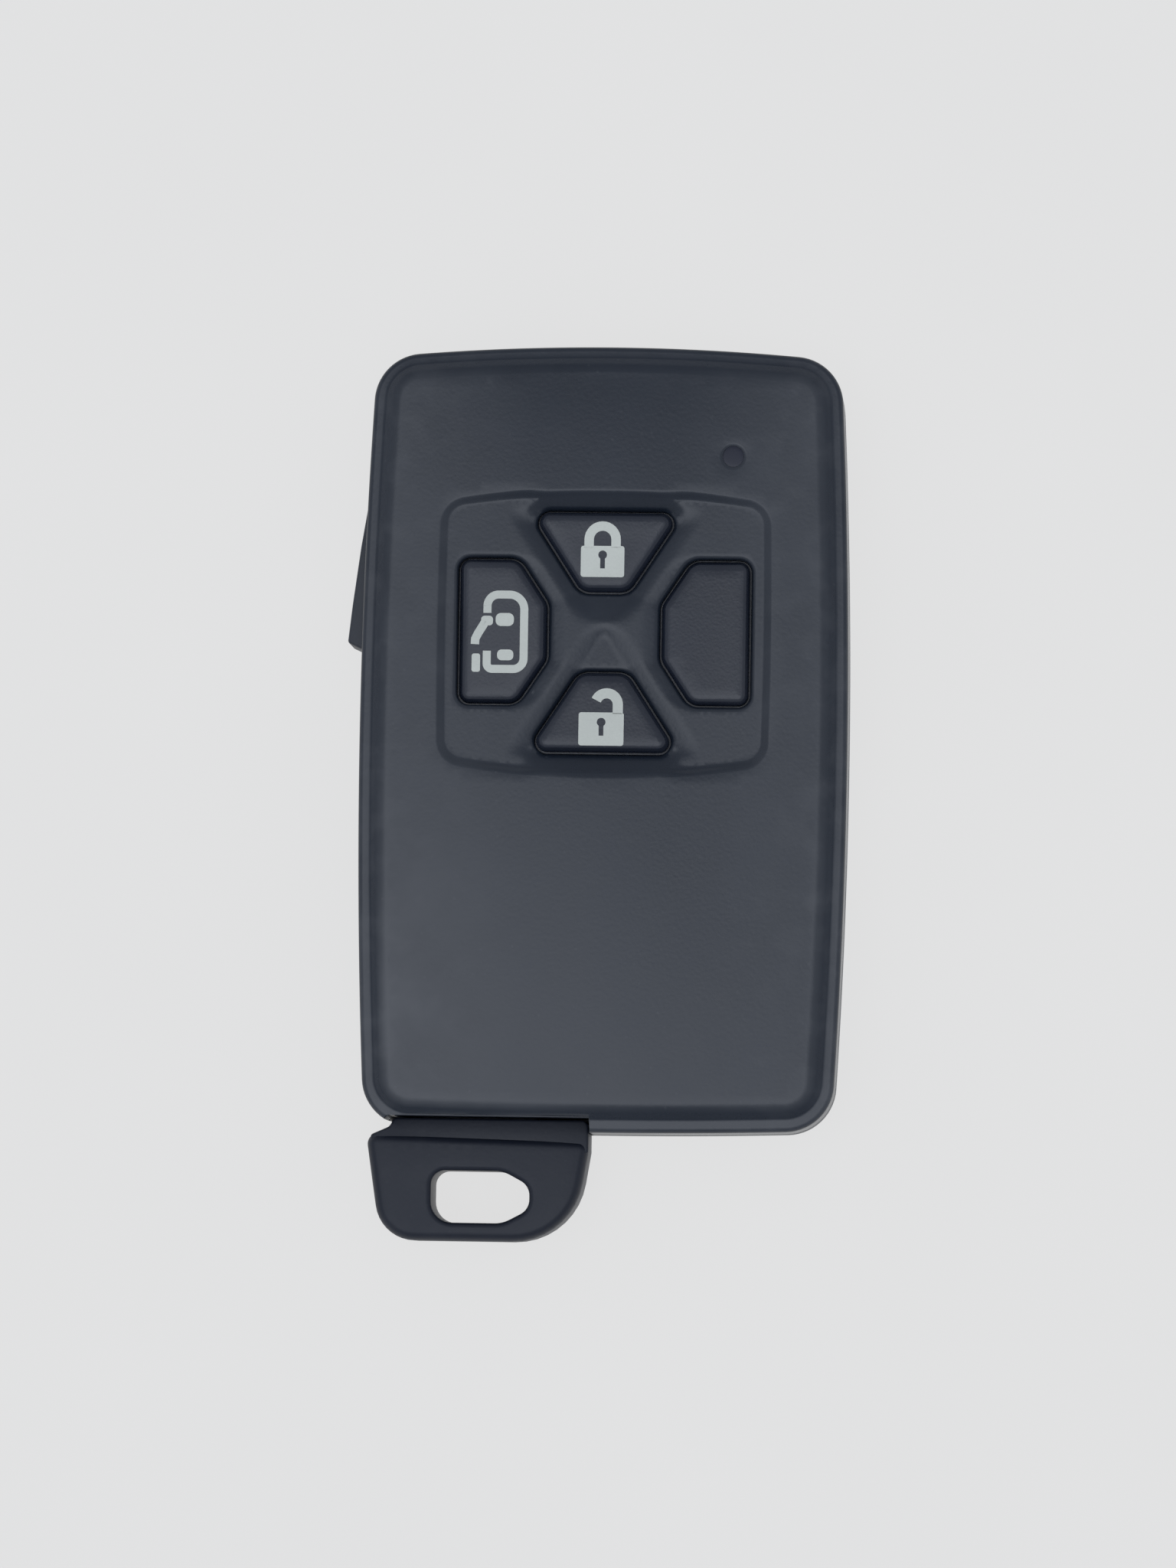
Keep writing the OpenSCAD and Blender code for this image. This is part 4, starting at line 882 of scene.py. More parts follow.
def door_icon(name, face, material):
    """A car seen from above with its sliding door drawn back."""
    left, right, low, high = -9.88, -6.76, 5.67, 11.96
    bends = [bend((left + 0.95, high - 0.95), 0.95, 180, 90), bend((right - 1.25, high - 1.25), 1.25, 90, 0),
             bend((right - 0.9, low + 0.9), 0.9, 0, -90), bend((left + 0.45, low + 0.45), 0.45, -90, -180)]
    car = [(left, 10.4), (left, high - 0.95), *(point for part in bends for point in part), (left, 7.2)]
    bar = [(-10.02, 9.72), (-10.2, 9.4), (-10.66, 8.65), (-10.88, 8.2), (-10.9, 7.75)]
    plates = {"_seat_a": (-8.4, 9.85, 1.55, 1.1, 0.45), "_seat_b": (-8.32, 6.86, 1.38, 0.92, 0.38),
              "_end": (-9.9, 9.75, 1.0, 0.82, 0.3), "_sill": (-10.8, 6.18, 0.72, 1.55, 0.2)}
    return joined(name, [
        icon_stroke(name + "_car", face, car, 0.68, material),
        icon_stroke(name + "_bar", face, bar, 0.72, material),
        *(icon_plate(name + label, face, box_loop(*box)) for label, box in plates.items())])


# The key head: corner radii, slant of its shoulder, dome of its top across and along; its ring hole and the
# hole's radii; the roundings of its lower edge, its upper edge and the hole's two edges.
HEAD_RADII, HEAD_SLANT, DOME_ACROSS, DOME_ALONG = (3.4, 6.0, 0.85, 0.9), 0.45, 0.22, 0.12
HOLE = ((-14.075, -2.2), (-8.0, -2.2), (-5.75, -1.0), (-5.75, 1.0), (-8.0, 2.2), (-14.075, 2.2))
HOLE_RADII = (1.8, 2.8, 1.4, 1.4, 2.8, 1.2)
LOW_EDGE, TOP_EDGE, TOP_EDGE_FALL, HOLE_TOP, HOLE_FOOT = 0.6, 0.75, 0.9, 0.45, 0.3
# Where the collar starts from the head's left side; underside, top and bevel of the collar and the shank.
COLLAR_INSET, COLLAR_HEIGHTS, SHANK_HEIGHTS = 0.45, (1.8, 7.1, 0.2), (1.8, 4.4, 0.15)


def key_head_piece(scene):
    """The emergency key's head with its ring hole, the collar in the notch and the shank."""
    key, shell = in_mm(scene.fob_key), Shell()
    corners = [(key.left + key.taper, key.low), (key.right - key.taper, key.low),
               (key.right, key.top - HEAD_SLANT), (key.left, key.top)]
    hole = [(x, key.hole_middle + y) for x, y in HOLE]
    up = rounding(EDGE_PARTS)
    down = up[::-1]

    def dome(x, y):
        across = (x - (key.left + key.right) / 2) / ((key.right - key.left) / 2)
        along = (y - (key.low + key.top) / 2) / ((key.top - key.low) / 2)
        return key.rise - DOME_ACROSS * across ** 4 - DOME_ALONG * along ** 2

    def head(inset, height):
        return shell.lift(split_sides(filleted(corners, HEAD_RADII, -inset)), height)

    def eye(grow, height):
        return shell.lift(split_sides(filleted(hole, HOLE_RADII, grow)), height)

    outside = [head(LOW_EDGE * inset, key.base + LOW_EDGE * drop) for inset, drop in down]
    outside += [head(TOP_EDGE * inset, shifted(dome, -TOP_EDGE_FALL * drop)) for inset, drop in up]
    shell.bridge(*outside)
    inside = [eye(HOLE_TOP * drop, shifted(dome, -HOLE_TOP * inset)) for inset, drop in up]
    inside += [eye(HOLE_FOOT * drop, key.base + HOLE_FOOT * inset) for inset, drop in down]
    shell.bridge(*inside)
    shell.fill(outside[-1], [inside[0]], dome, HEAD_MESH)
    shell.fill(outside[0], [inside[-1]], key.base, HEAD_FOOT_MESH)
    edge = key.left + COLLAR_INSET
    collar = [(edge, -35.0), (-0.825, -35.0), (-0.825, -32.6), (-1.225, -32.2), (-17.325, -32.2),
              (-17.725, -32.95), (edge, -33.65)]
    shank = [(-15.3, -33.2), (-5.3, -33.2), (-5.3, -25.35), (-15.3, -25.35)]
    return joined("key_head_moulding", [
        shell.object("head", HEAD_SHARP), prism("collar", collar, *COLLAR_HEIGHTS),
        prism("shank", shank, *SHANK_HEIGHTS)])


def lever_piece():
    """The release lever: a wedge on the left side that stands out at its lower end."""
    low, high = node_box("release_lever")
    outer = [(-20.3, 20.85), (-21.02, 16.3), (-21.66, 11.3), (low[0], 8.1), (-20.7, low[1])]
    inner = [(-18.5, low[1]), (-18.5, 9.2), (-16.92, 9.65), (-16.92, 11.05), (-18.5, 11.5), (-18.5, 17.9),
             (-17.6, 18.6), (-17.6, 20.85)]
    return prism("release_lever_moulding", outer + inner, low[2], high[2], 0.2)


def lens_piece(scene):
    """The indicator: a smoked light pipe with a low dome, a little under the face."""
    shell, face = Shell(), CasePlan(scene).crown(*LENS_PLACE)
    profile = [(LENS_DOME[0][0], LENS_FOOT), *((r, face - depth) for r, depth in LENS_DOME)]
    rings = [shell.lift(circle(LENS_PLACE, r), z) for r, z in profile]
    shell.close(rings, (LENS_FOOT, LENS_FOOT_MESH), (profile[-1][1], LENS_MESH))
    return shell.object("indicator_lens_dome")


# The latch spring's wire, as a radius, and its turns.
SPRING_WIRE, SPRING_TURNS = 0.175, 3.0


def latch_spring_piece(material):
    """The latch spring, wound to fill the solid's own box."""
    low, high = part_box("latch_spring")
    coil, wire = new_object("latch_spring_coil", bpy.data.meshes.new("latch_spring_coil")), SPRING_WIRE * MM
    return shaped_by(coil, wound_wire, {
        "Turns": SPRING_TURNS, "Radius": (high.y - low.y) / 2 - wire, "Length": high.x - low.x - 2 * wire,
        "Wire": wire, "Start": (low.x + wire, (low.y + high.y) / 2, (low.z + high.z) / 2),
        "Finish": material})


def feed(tree, sockets, values):
    """Links or sets each socket that is named."""
    for name, value in dict(values).items():
        if isinstance(value, bpy.types.NodeSocket):
            tree.links.new(value, sockets[name])
        else:
            sockets[name].default_value = value


def add(tree, kind, values=(), **settings):
    """A node with its settings and its inputs."""
    node = tree.nodes.new(kind)
    for name, setting in settings.items():
        setattr(node, name, setting)
    feed(tree, node.inputs, values)
    return node


def calc(tree, operation, *values):
    """What a math operation makes of one to three values."""
    return add(tree, "ShaderNodeMath", dict(enumerate(values)), operation=operation).outputs[0]


def ranged(tree, value, low, high, to_low, to_high, **settings):
    """A value that runs from low to high, turned into one that runs from to_low to to_high."""
    values = {"Value": value, "From Min": low, "From Max": high, "To Min": to_low, "To Max": to_high}
    return add(tree, "ShaderNodeMapRange", values, **settings).outputs["Result"]


def noise(tree, place, scale, detail):
    """Soft noise between 0 and 1."""
    return add(tree, "ShaderNodeTexNoise", {"Vector": place, "Scale": scale, "Detail": detail}).outputs["Fac"]


def new_tree(name, kind, inputs, outputs):
    """A node tree with its sockets, what it is given and what it has to make."""
    tree = bpy.data.node_groups.new(name, kind)
    for side, sockets in (("INPUT", inputs), ("OUTPUT", outputs)):
        for label, sort in sockets.items():
            tree.interface.new_socket(label, in_out=side, socket_type="NodeSocket" + sort)
    return tree, tree.nodes.new("NodeGroupInput").outputs, tree.nodes.new("NodeGroupOutput").inputs


def shared_tree(build):
    """A node tree by the name of the function that builds it, built the first time."""
    return bpy.data.node_groups.get(build.__name__) or build()


def sweep(tree, path, section):
    """A section swept along a path, with closed ends."""
    return add(tree, "GeometryNodeCurveToMesh",
               {"Curve": path, "Profile Curve": section, "Fill Caps": True}).outputs[0]


def real_with_finish(tree, geometry, material):
    """The end of a geometry tree: real geometry with its material."""
    real = add(tree, "GeometryNodeRealizeInstances", {"Geometry": geometry}).outputs[0]
    return add(tree, "GeometryNodeSetMaterial", {"Geometry": real, "Material": material}).outputs[0]


def printed_line():
    """Geometry nodes that lay a flat printed line along a path."""
    tree, given, made = new_tree("printed_line", "GeometryNodeTree", {
        "Path": "Geometry", "Width": "Float", "Thickness": "Float", "Finish": "Material"},
        {"Line": "Geometry"})
    upright = add(tree, "GeometryNodeSetCurveNormal", {"Curve": given["Path"]}, mode="Z_UP")
    section = add(tree, "GeometryNodeCurvePrimitiveQuadrilateral",
                  {"Width": given["Width"], "Height": given["Thickness"]})
    line = sweep(tree, upright.outputs[0], section.outputs[0])
    feed(tree, made, {"Line": real_with_finish(tree, line, given["Finish"])})
    return tree


def wound_wire():
    """Geometry nodes that wind a round wire into a coil along +X."""
    tree, given, made = new_tree("wound_wire", "GeometryNodeTree", {
        "Turns": "Float", "Radius": "Float", "Length": "Float", "Wire": "Float", "Start": "Vector",
        "Finish": "Material"}, {"Coil": "Geometry"})
    helix = add(tree, "GeometryNodeCurveSpiral",
                {"Resolution": 40, "Rotations": given["Turns"], "Start Radius": given["Radius"],
                 "End Radius": given["Radius"], "Height": given["Length"]})
    section = add(tree, "GeometryNodeCurvePrimitiveCircle", {"Resolution": 14, "Radius": given["Wire"]})
    wire = sweep(tree, helix.outputs[0], section.outputs[0])
    laid = add(tree, "GeometryNodeTransform",
               {"Geometry": wire, "Translation": given["Start"], "Rotation": (0, math.pi / 2, 0)})
    feed(tree, made, {"Coil": real_with_finish(tree, laid.outputs[0], given["Finish"])})
    return tree


def moulded_grain():
    """Fine spark-eroded grain of moulded plastic: a height and a light speckle."""
    tree, given, made = new_tree("moulded_grain", "ShaderNodeTree", {"Vector": "Vector", "Scale": "Float"},
                                 {"Height": "Float", "Speckle": "Float"})
    fine = noise(tree, given["Vector"], given["Scale"], 1.0)
    cells = add(tree, "ShaderNodeTexVoronoi", {"Vector": given["Vector"], "Scale": given["Scale"]},
                feature="SMOOTH_F1")
    feed(tree, made, {"Height": calc(tree, "ADD", fine, cells.outputs["Distance"]),
                      "Speckle": ranged(tree, fine, 0.3, 0.7, 0.98, 1.02)})
    return tree


# The place on the front cover, in metres, where the pale film of painted sheen is strongest.
SHEEN_PLACE = (-0.016, -0.024, 0.011)


def handling_marks():
    """Colour and roughness of carried plastic: mottling, a pale film of painted sheen towards the sides and
    the lower left, wear and painted highlight along edges, stronger towards the key end, scuffs and specks
    of dust."""
    tree, given, made = new_tree("handling_marks", "ShaderNodeTree", {
        "Vector": "Vector", "Colour": "Color", "Dust": "Color", "Amount": "Float", "Roughness": "Float",
        "Speckle": "Float", "Wear": "Float"}, {"Colour": "Color", "Roughness": "Float"})
    place = given["Vector"]
    x, y, z = add(tree, "ShaderNodeSeparateXYZ", {"Vector": place}).outputs
    side = calc(tree, "ABSOLUTE", x)
    broad = noise(tree, place, 140.0, 3.0)
    tone = calc(tree, "MULTIPLY", ranged(tree, broad, 0.25, 0.75, 0.92, 1.08), given["Speckle"])
    base = add(tree, "ShaderNodeVectorMath", {0: given["Colour"], "Scale": tone}, operation="SCALE")
    edge = ranged(tree, side, 0.009, 0.019, 0.15, 1.0)
    scuff = ranged(tree, noise(tree, place, 420.0, 2.0), 0.5, 0.85, 0.0, 1.0)
    scuff = calc(tree, "MULTIPLY", calc(tree, "MULTIPLY", scuff, edge), 0.6)
    specks = add(tree, "ShaderNodeTexVoronoi", {"Vector": place, "Scale": 620.0, "Randomness": 1.0})
    marks = calc(tree, "MAXIMUM", scuff, ranged(tree, specks.outputs["Distance"], 0.03, 0.1, 0.35, 0.0))
    # Painted sheen, added to the marks: the face turns paler towards both sides and round a patch at the
    # lower left, and worn edges turn paler towards the key end, standing in for light.
    sheen_patch = add(tree, "ShaderNodeVectorMath", {0: place, 1: SHEEN_PLACE}, operation="DISTANCE")
    upper = ranged(tree, z, 0.0105, 0.0109, 0.0, 1.0)
    sheen_and_wear = [calc(tree, "MULTIPLY", ranged(tree, side, 0.006, 0.017, 0.0, 0.6), upper),
            calc(tree, "MULTIPLY", ranged(tree, sheen_patch.outputs["Value"], 0.004, 0.026, 0.95, 0.0), upper),
            calc(tree, "MULTIPLY", ranged(tree, y, -0.03, 0.03, 1.0, 0.15), given["Wear"])]
    cloud = ranged(tree, broad, 0.3, 0.7, 0.6, 1.3)
    for part in sheen_and_wear:
        marks = calc(tree, "MULTIPLY_ADD", part, cloud, marks)
    marks = calc(tree, "MULTIPLY", marks, given["Amount"])
    colour = add(tree, "ShaderNodeMix", {"Factor": marks, "A": base.outputs[0], "B": given["Dust"]},
                 data_type="RGBA")
    rough = calc(tree, "MULTIPLY_ADD", marks, 0.25, given["Roughness"])
    feed(tree, made, {"Colour": colour.outputs["Result"], "Roughness": calc(tree, "MULTIPLY", rough, tone)})
    return tree


# How many lines drawn metal has to a metre along each axis: they run along Y.
LINE_COUNTS = (6000.0, 260.0, 6000.0)


def drawn_lines():
    """Fine lines of rolled or drawn metal: a height, a tone and a roughness."""
    tree, given, made = new_tree("drawn_lines", "ShaderNodeTree", {
        "Vector": "Vector", "Colour": "Color", "Roughness": "Float"},
        {"Height": "Float", "Colour": "Color", "Roughness": "Float"})
    stretch = add(tree, "ShaderNodeVectorMath", {0: given["Vector"], 1: LINE_COUNTS}, operation="MULTIPLY")
    lines = noise(tree, stretch.outputs[0], 1.0, 3.0)
    tone = ranged(tree, lines, 0.3, 0.7, 0.85, 1.1)
    base = add(tree, "ShaderNodeVectorMath", {0: given["Colour"], "Scale": tone}, operation="SCALE")
    rough = calc(tree, "MULTIPLY", given["Roughness"], ranged(tree, lines, 0.3, 0.7, 0.8, 1.25))
    feed(tree, made, {"Height": lines, "Colour": base.outputs[0], "Roughness": rough})
    return tree


def new_material(name):
    """An empty material with its Principled shader and object coordinates."""
    material = bpy.data.materials.new(name)
    material.use_nodes = True
    tree = material.node_tree
    shader = next(node for node in tree.nodes if node.type == "BSDF_PRINCIPLED")
    place = tree.nodes.new("ShaderNodeTexCoord").outputs["Object"]
    return material, tree, shader, place


def effect(tree, build, **values):
    """A shared effect in a material."""
    return add(tree, "ShaderNodeGroup", values, node_tree=shared_tree(build)).outputs


def relief(tree, height, strength, depth):
    """The bumps that a height makes."""
    return add(tree, "ShaderNodeBump", {"Height": height, "Strength": strength,
                                        "Distance": depth * MM}).outputs["Normal"]


def plastic(name, colour, roughness=0.5, dust=0.3, grain=3200.0, depth=0.005, gloss=0.5,
            dust_and_sheen_colour=(0.12, 0.125, 0.135)):
    """Moulded plastic with its grain, handling marks and painted sheen."""
    if name in bpy.data.materials:
        return bpy.data.materials[name]
    material, tree, shader, place = new_material(name)
    texture = effect(tree, moulded_grain, Vector=place, Scale=grain)
    # The edge attribute holds wear mixed with painted highlight.
    wear = add(tree, "ShaderNodeAttribute", attribute_name="edge_wear").outputs["Fac"]
    marks = effect(tree, handling_marks, Vector=place, Colour=(*colour, 1), Dust=(*dust_and_sheen_colour, 1),
                   Amount=dust, Roughness=roughness, Speckle=texture["Speckle"], Wear=wear)
    feed(tree, shader.inputs, {
        "Base Color": marks["Colour"], "Roughness": marks["Roughness"], "Specular IOR Level": gloss,
        "Normal": relief(tree, texture["Height"], 1.0, depth)})
    return material


def metal(name, colour, roughness):
    """Rolled or drawn metal with fine lines."""
    if name in bpy.data.materials:
        return bpy.data.materials[name]
    material, tree, shader, place = new_material(name)
    lines = effect(tree, drawn_lines, Vector=place, Colour=(*colour, 1), Roughness=roughness)
    feed(tree, shader.inputs, {
        "Base Color": lines["Colour"], "Roughness": lines["Roughness"], "Metallic": 1.0,
        "Normal": relief(tree, lines["Height"], 0.5, 0.003)})
    return material


# Each finish: material, roughness, share of dust and painted sheen, grains to a metre, grain depth in
# millimetres and gloss.
FINISHES = {
    "front": ("front_plastic", 0.28, 0.34, 3200.0, 0.005, 0.42),
    "rear": ("rear_plastic", 0.45, 0.3, 2600.0, 0.01, 0.44),
    "button": ("button_plastic", 0.27, 0.2, 4200.0, 0.006, 0.41),
    "lever": ("lever_plastic", 0.5, 0.1, 3200.0, 0.01, 0.5),
    "key": ("key_head_plastic", 0.45, 0.15, 3200.0, 0.006, 0.36),
    "print": ("icon_print", 0.55, 0.12, 5200.0, 0.004, 0.5),
    "lens": ("smoked_lens", 0.3, 0.1, 4200.0, 0.001, 0.26)}
# Colour of dust and painted sheen on the print.
PRINT_DUST_AND_SHEEN = (0.35, 0.38, 0.36)
# Roughness of the parts inside: metals, the key's blade and plastics by their class; and their share of dust.
METAL_ROUGH, BLADE_ROUGH, INNER_ROUGH, INNER_DUST = 0.32, 0.24, {"gloss_plastic": 0.25, "rubber": 0.7}, 0.05


def finish(scene, name):
    """The finish of one kind of visible piece."""
    colours = scene.fob_colours
    material, *values = FINISHES[name]
    dust_and_sheen_colour = PRINT_DUST_AND_SHEEN if name == "print" else tuple(colours.dust)
    return plastic(material, tuple(getattr(colours, name)), *values, dust_and_sheen_colour)


class FobOperator:
    """What every building step shares."""
    bl_options = {"REGISTER", "UNDO"}

    def execute(self, context):
        self.build(context.scene)
        return {"FINISHED"}


class FOB_OT_front_cover(FobOperator, bpy.types.Operator):
    """Builds the front cover with its rim, face, sunk panel and openings"""
    bl_idname = "fob.front_cover"
    bl_label = "Front cover"

    def build(self, scene):
        place_piece(front_cover_piece(scene), finish(scene, "front"), "case", "front_cover")


class FOB_OT_rear_cover(FobOperator, bpy.types.Operator):
    """Builds the rear cover with the notch and slot for the emergency key"""
    bl_idname = "fob.rear_cover"
    bl_label = "Rear cover"

    def build(self, scene):
        place_piece(rear_cover_piece(scene), finish(scene, "rear"), "case", "rear_cover")


class FOB_OT_buttons(FobOperator, bpy.types.Operator):
    """Builds the three buttons and the blanking plug"""
    bl_idname = "fob.buttons"
    bl_label = "Buttons"

    def build(self, scene):
        for name in PLACES:
            piece = button_piece(scene, name)
            node, body = ("blank_plug", "case") if name == "blank" else (name + "_button", name + "_button")
            place_piece(piece, finish(scene, "button"), body, node)


class FOB_OT_icons(FobOperator, bpy.types.Operator):
    """Prints the padlocks and the sliding door on the buttons"""
    bl_idname = "fob.icons"
    bl_label = "Icons"

    def build(self, scene):
        panel, ink = in_mm(scene.fob_panel), finish(scene, "print")
        for name, lock in (("lock", SHUT_PADLOCK), ("unlock", OPEN_PADLOCK)):
            icon = padlock_icon(name + "_icon", face_of(panel, name), lock, ink)
            place_piece(icon, ink, name + "_button")
        place_piece(door_icon("door_icon", face_of(panel, "door"), ink), ink, "door_button")


class FOB_OT_indicator(FobOperator, bpy.types.Operator):
    """Builds the indicator's smoked lens"""
    bl_idname = "fob.indicator"
    bl_label = "Indicator"

    def build(self, scene):
        place_piece(lens_piece(scene), finish(scene, "lens"), "case", "indicator_lens")


class FOB_OT_lever(FobOperator, bpy.types.Operator):
    """Builds the release lever"""
    bl_idname = "fob.lever"
    bl_label = "Release lever"

    def build(self, scene):
        place_piece(lever_piece(), finish(scene, "lever"), "release_lever", "release_lever")


class FOB_OT_key_head(FobOperator, bpy.types.Operator):
    """Builds the emergency key's head, collar and shank"""
    bl_idname = "fob.key_head"
    bl_label = "Key head"

    def build(self, scene):
        place_piece(key_head_piece(scene), finish(scene, "key"), "emergency_key", "key_head")


class FOB_OT_inner_parts(FobOperator, bpy.types.Operator):
    """Gives the parts inside the case, and the key's blade, their finishes"""
    bl_idname = "fob.inner_parts"
    bl_label = "Inner parts"

    def build(self, scene):
        record = frame["record"]
        slots = {entry["slot"]: entry for entry in record["materials"]}
        for part in record["subparts"]:
            entry = slots[part["material_slot"]]
            slot, kind, colour = entry["slot"], entry["class"], tuple(entry["base_color"])
            if kind in ("brushed_steel", "brass"):
                material = metal(slot + "_metal", colour, BLADE_ROUGH if slot == "blade" else METAL_ROUGH)
            else:
                material = plastic(slot + "_moulded", colour, INNER_ROUGH.get(kind, 0.5), INNER_DUST)
            dress(frame["nodes"][part["node"]], material)


class FOB_OT_latch_spring(FobOperator, bpy.types.Operator):
    """Winds the latch spring and fixes it to the case"""
    bl_idname = "fob.latch_spring"
    bl_label = "Latch spring"

    def build(self, scene):
        steel = frame["nodes"]["latch_spring"].data.materials[0]
        coil = place_piece(latch_spring_piece(steel), steel, "case", "latch_spring")
        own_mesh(coil)


# The floor: half its side and its depth under the fob in metres, its two tones, and how far light shades it.
FLOOR_HALF, FLOOR_DEPTH, FLOOR_TONES, FLOOR_SHADED = 2.5, 0.02 * MM, (0.99, 1.01), 0.1
# The air's colour, and the lamp: its place and size in metres and its power in watts.
AIR_COLOUR, LAMP_PLACE, LAMP_SIZE, LAMP_POWER = (0.93, 0.985, 1.09, 1), (-0.08, -0.08, 0.9), 0.35, 0.13
# The camera, fitted to the photo: lens, lean to +X and -Y and roll in degrees, aim and distance in metres.
CAMERA_LENS, CAMERA_LEAN, CAMERA_ROLL = 149.5, (3.26, 4.40), 0.947
CAMERA_AIM, CAMERA_DISTANCE = Vector((-1.478, -3.529, 5.0)) * MM, 0.5546


def slant(degrees):
    """How far a line that leans by an angle goes sideways for each step up."""
    return math.tan(math.radians(degrees))


def sky_patch(tree, place, towards, outer, inner, strength):
    """A soft round patch of the sky: its lean to +X and +Y, its outer and its inner angle, in degrees."""
    towards = Vector([slant(v) for v in towards] + [1.0]).normalized()
    facing = add(tree, "ShaderNodeVectorMath", {0: place, 1: towards}, operation="DOT_PRODUCT")
    angle = calc(tree, "ARCCOSINE", facing.outputs["Value"])
    return ranged(tree, angle, math.radians(inner), math.radians(outer), strength, 0.0,
                  interpolation_type="SMOOTHSTEP")


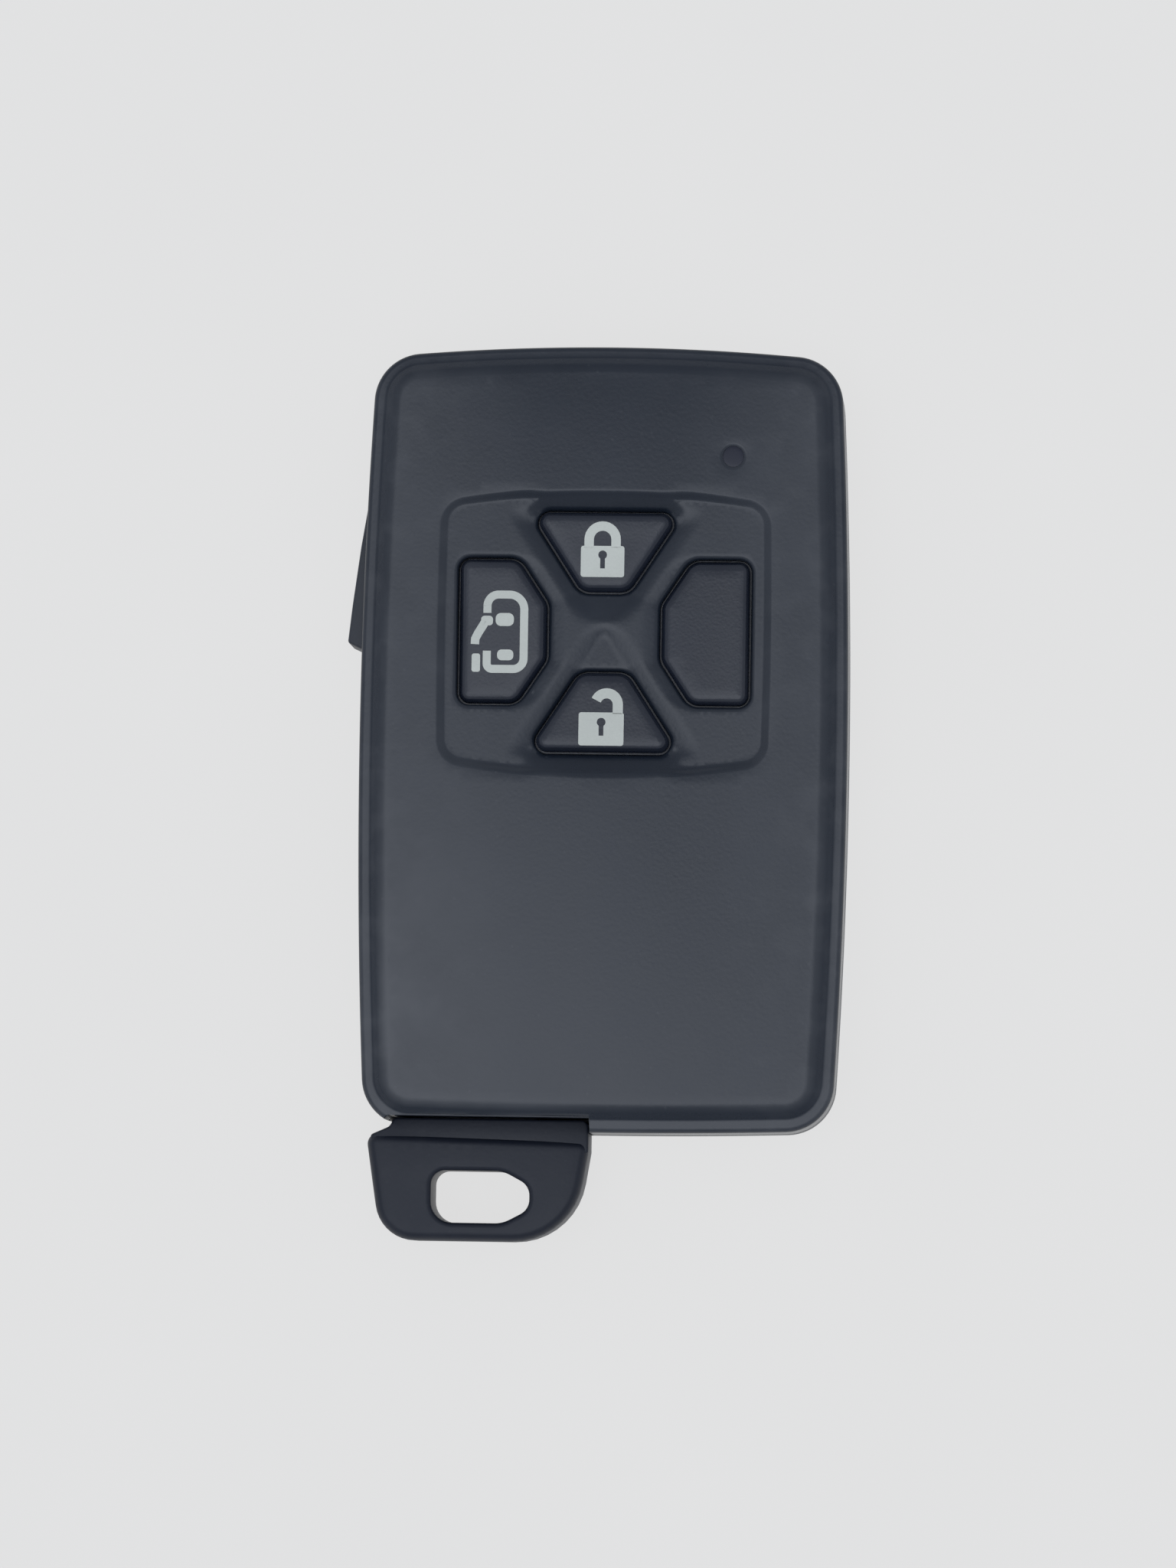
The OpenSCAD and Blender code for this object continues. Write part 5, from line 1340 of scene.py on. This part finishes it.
class FOB_OT_stage(FobOperator, bpy.types.Operator):
    """Sets the floor, the light and the camera"""
    bl_idname = "fob.stage"
    bl_label = "Stage"

    def build(self, scene):
        scene.view_settings.view_transform = "Standard"
        self.floor(scene)
        self.light(scene)
        self.camera(scene)

    def floor(self, scene):
        """A pale floor of even tone that is clear from below."""
        mesh = bpy.data.meshes.new("floor")
        mesh.from_pydata([(x * FLOOR_HALF, y * FLOOR_HALF, -FLOOR_DEPTH)
                          for x, y in ((-1, -1), (1, -1), (1, 1), (-1, 1))], [], [(0, 1, 2, 3)])
        floor = new_object("floor", mesh)
        material = bpy.data.materials.new("pale_floor")
        material.use_nodes = True
        tree = material.node_tree
        tree.nodes.clear()
        path = tree.nodes.new("ShaderNodeLightPath").outputs
        place = tree.nodes.new("ShaderNodeTexCoord").outputs["Object"]
        darker, paler = ((*(c * tone for c in scene.fob_colours.floor), 1) for tone in FLOOR_TONES)
        paper = add(tree, "ShaderNodeMix", {"Factor": noise(tree, place, 30.0, 2.0), "A": darker, "B": paler},
                    data_type="RGBA").outputs["Result"]

        def mixed(share, first, second):
            return add(tree, "ShaderNodeMixShader", {0: share, 1: first, 2: second}).outputs[0]

        lit = add(tree, "ShaderNodeBsdfDiffuse", {"Color": paper}).outputs[0]
        even_tone = add(tree, "ShaderNodeEmission", {"Color": paper, "Strength": 1.0}).outputs[0]
        seen = calc(tree, "MAXIMUM", path["Is Camera Ray"], path["Is Glossy Ray"])
        seen = calc(tree, "MAXIMUM", seen, path["Is Transmission Ray"])
        front = mixed(seen, lit, mixed(FLOOR_SHADED, even_tone, lit))
        behind = tree.nodes.new("ShaderNodeNewGeometry").outputs["Backfacing"]
        both = mixed(behind, front, tree.nodes.new("ShaderNodeBsdfTransparent").outputs[0])
        tree.links.new(both, tree.nodes.new("ShaderNodeOutputMaterial").inputs["Surface"])
        dress(floor, material)

    def light(self, scene):
        """Soft light all round: a skyline, a dome, two walls, a bright ceiling, a dark patch and a lamp."""
        world = bpy.data.worlds.new("soft_studio")
        scene.world = world
        world.use_nodes = True
        tree = world.node_tree
        tree.nodes.clear()
        place = tree.nodes.new("ShaderNodeTexCoord").outputs["Generated"]
        sideways, _, upward = add(tree, "ShaderNodeSeparateXYZ", {"Vector": place}).outputs
        skyline = ranged(tree, upward, 0.13, 0.2, scene.fob_colours.floor[0], 0.3)
        dome = ranged(tree, upward, 0.2, 0.75, 0.0, 0.2)
        walls = ranged(tree, calc(tree, "ABSOLUTE", sideways), 0.5, 0.95, 0.0, 0.22)
        ceiling = sky_patch(tree, place, (-5, -5), 30, 8, 1.75)
        shade = sky_patch(tree, place, (-2, 10), 18, 0, -0.95)
        glow = skyline
        for part in (dome, walls, ceiling, shade):
            glow = calc(tree, "ADD", glow, part)
        around = add(tree, "ShaderNodeBackground", {"Color": AIR_COLOUR, "Strength": glow})
        tree.links.new(around.outputs[0], tree.nodes.new("ShaderNodeOutputWorld").inputs["Surface"])
        lamp = bpy.data.lights.new("overhead_softbox", "AREA")
        lamp.shape, lamp.size, lamp.energy = "SQUARE", LAMP_SIZE, LAMP_POWER
        holder = new_object("overhead_softbox", lamp)
        holder.location = LAMP_PLACE
        holder.rotation_euler = (-Vector(LAMP_PLACE)).to_track_quat("-Z", "Y").to_euler()

    def camera(self, scene):
        """A camera where the photo was taken from."""
        camera = bpy.data.cameras.new("camera")
        camera.lens, camera.sensor_width, camera.sensor_fit = CAMERA_LENS, 36, "AUTO"
        camera.clip_start, camera.clip_end = 0.01, 20
        holder, roll = new_object("camera", camera), math.radians(CAMERA_ROLL)
        back = Vector((slant(CAMERA_LEAN[0]), -slant(CAMERA_LEAN[1]), 1)).normalized()
        right = Vector((-math.sin(roll), math.cos(roll), 0)).cross(back).normalized()
        turn = Matrix((right, back.cross(right), back)).transposed().to_4x4()
        holder.matrix_world = Matrix.Translation(CAMERA_AIM + back * CAMERA_DISTANCE) @ turn
        scene.camera = holder


STEPS = (FOB_OT_front_cover, FOB_OT_rear_cover, FOB_OT_inner_parts, FOB_OT_latch_spring, FOB_OT_buttons,
         FOB_OT_icons, FOB_OT_indicator, FOB_OT_lever, FOB_OT_key_head, FOB_OT_stage)
GROUPS = {"fob_case": FobCase, "fob_panel": FobPanel, "fob_key": FobKey, "fob_colours": FobColours}


class FOB_PT_panel(bpy.types.Panel):
    """Lists the sizes, the colours and the building steps"""
    bl_idname = "FOB_PT_panel"
    bl_label = "Key fob"
    bl_space_type = "VIEW_3D"
    bl_region_type = "UI"
    bl_category = "Key fob"

    def draw(self, context):
        for group in GROUPS:
            box = self.layout.box()
            for name in GROUPS[group].__annotations__:
                box.prop(getattr(context.scene, group), name)
        for step in STEPS:
            self.layout.operator(step.bl_idname)


def register():
    for kind in (*GROUPS.values(), *STEPS, FOB_PT_panel):
        bpy.utils.register_class(kind)
    for name, kind in GROUPS.items():
        setattr(bpy.types.Scene, name, PointerProperty(type=kind))


def unregister():
    for name in GROUPS:
        delattr(bpy.types.Scene, name)
    for kind in (FOB_PT_panel, *reversed(STEPS), *GROUPS.values()):
        bpy.utils.unregister_class(kind)


def main():
    register()
    bpy.ops.fob.front_cover()
    bpy.ops.fob.rear_cover()
    bpy.ops.fob.inner_parts()
    bpy.ops.fob.latch_spring()
    bpy.ops.fob.buttons()
    bpy.ops.fob.icons()
    bpy.ops.fob.indicator()
    bpy.ops.fob.lever()
    bpy.ops.fob.key_head()
    bpy.ops.fob.stage()


if __name__ == "__main__":
    main()
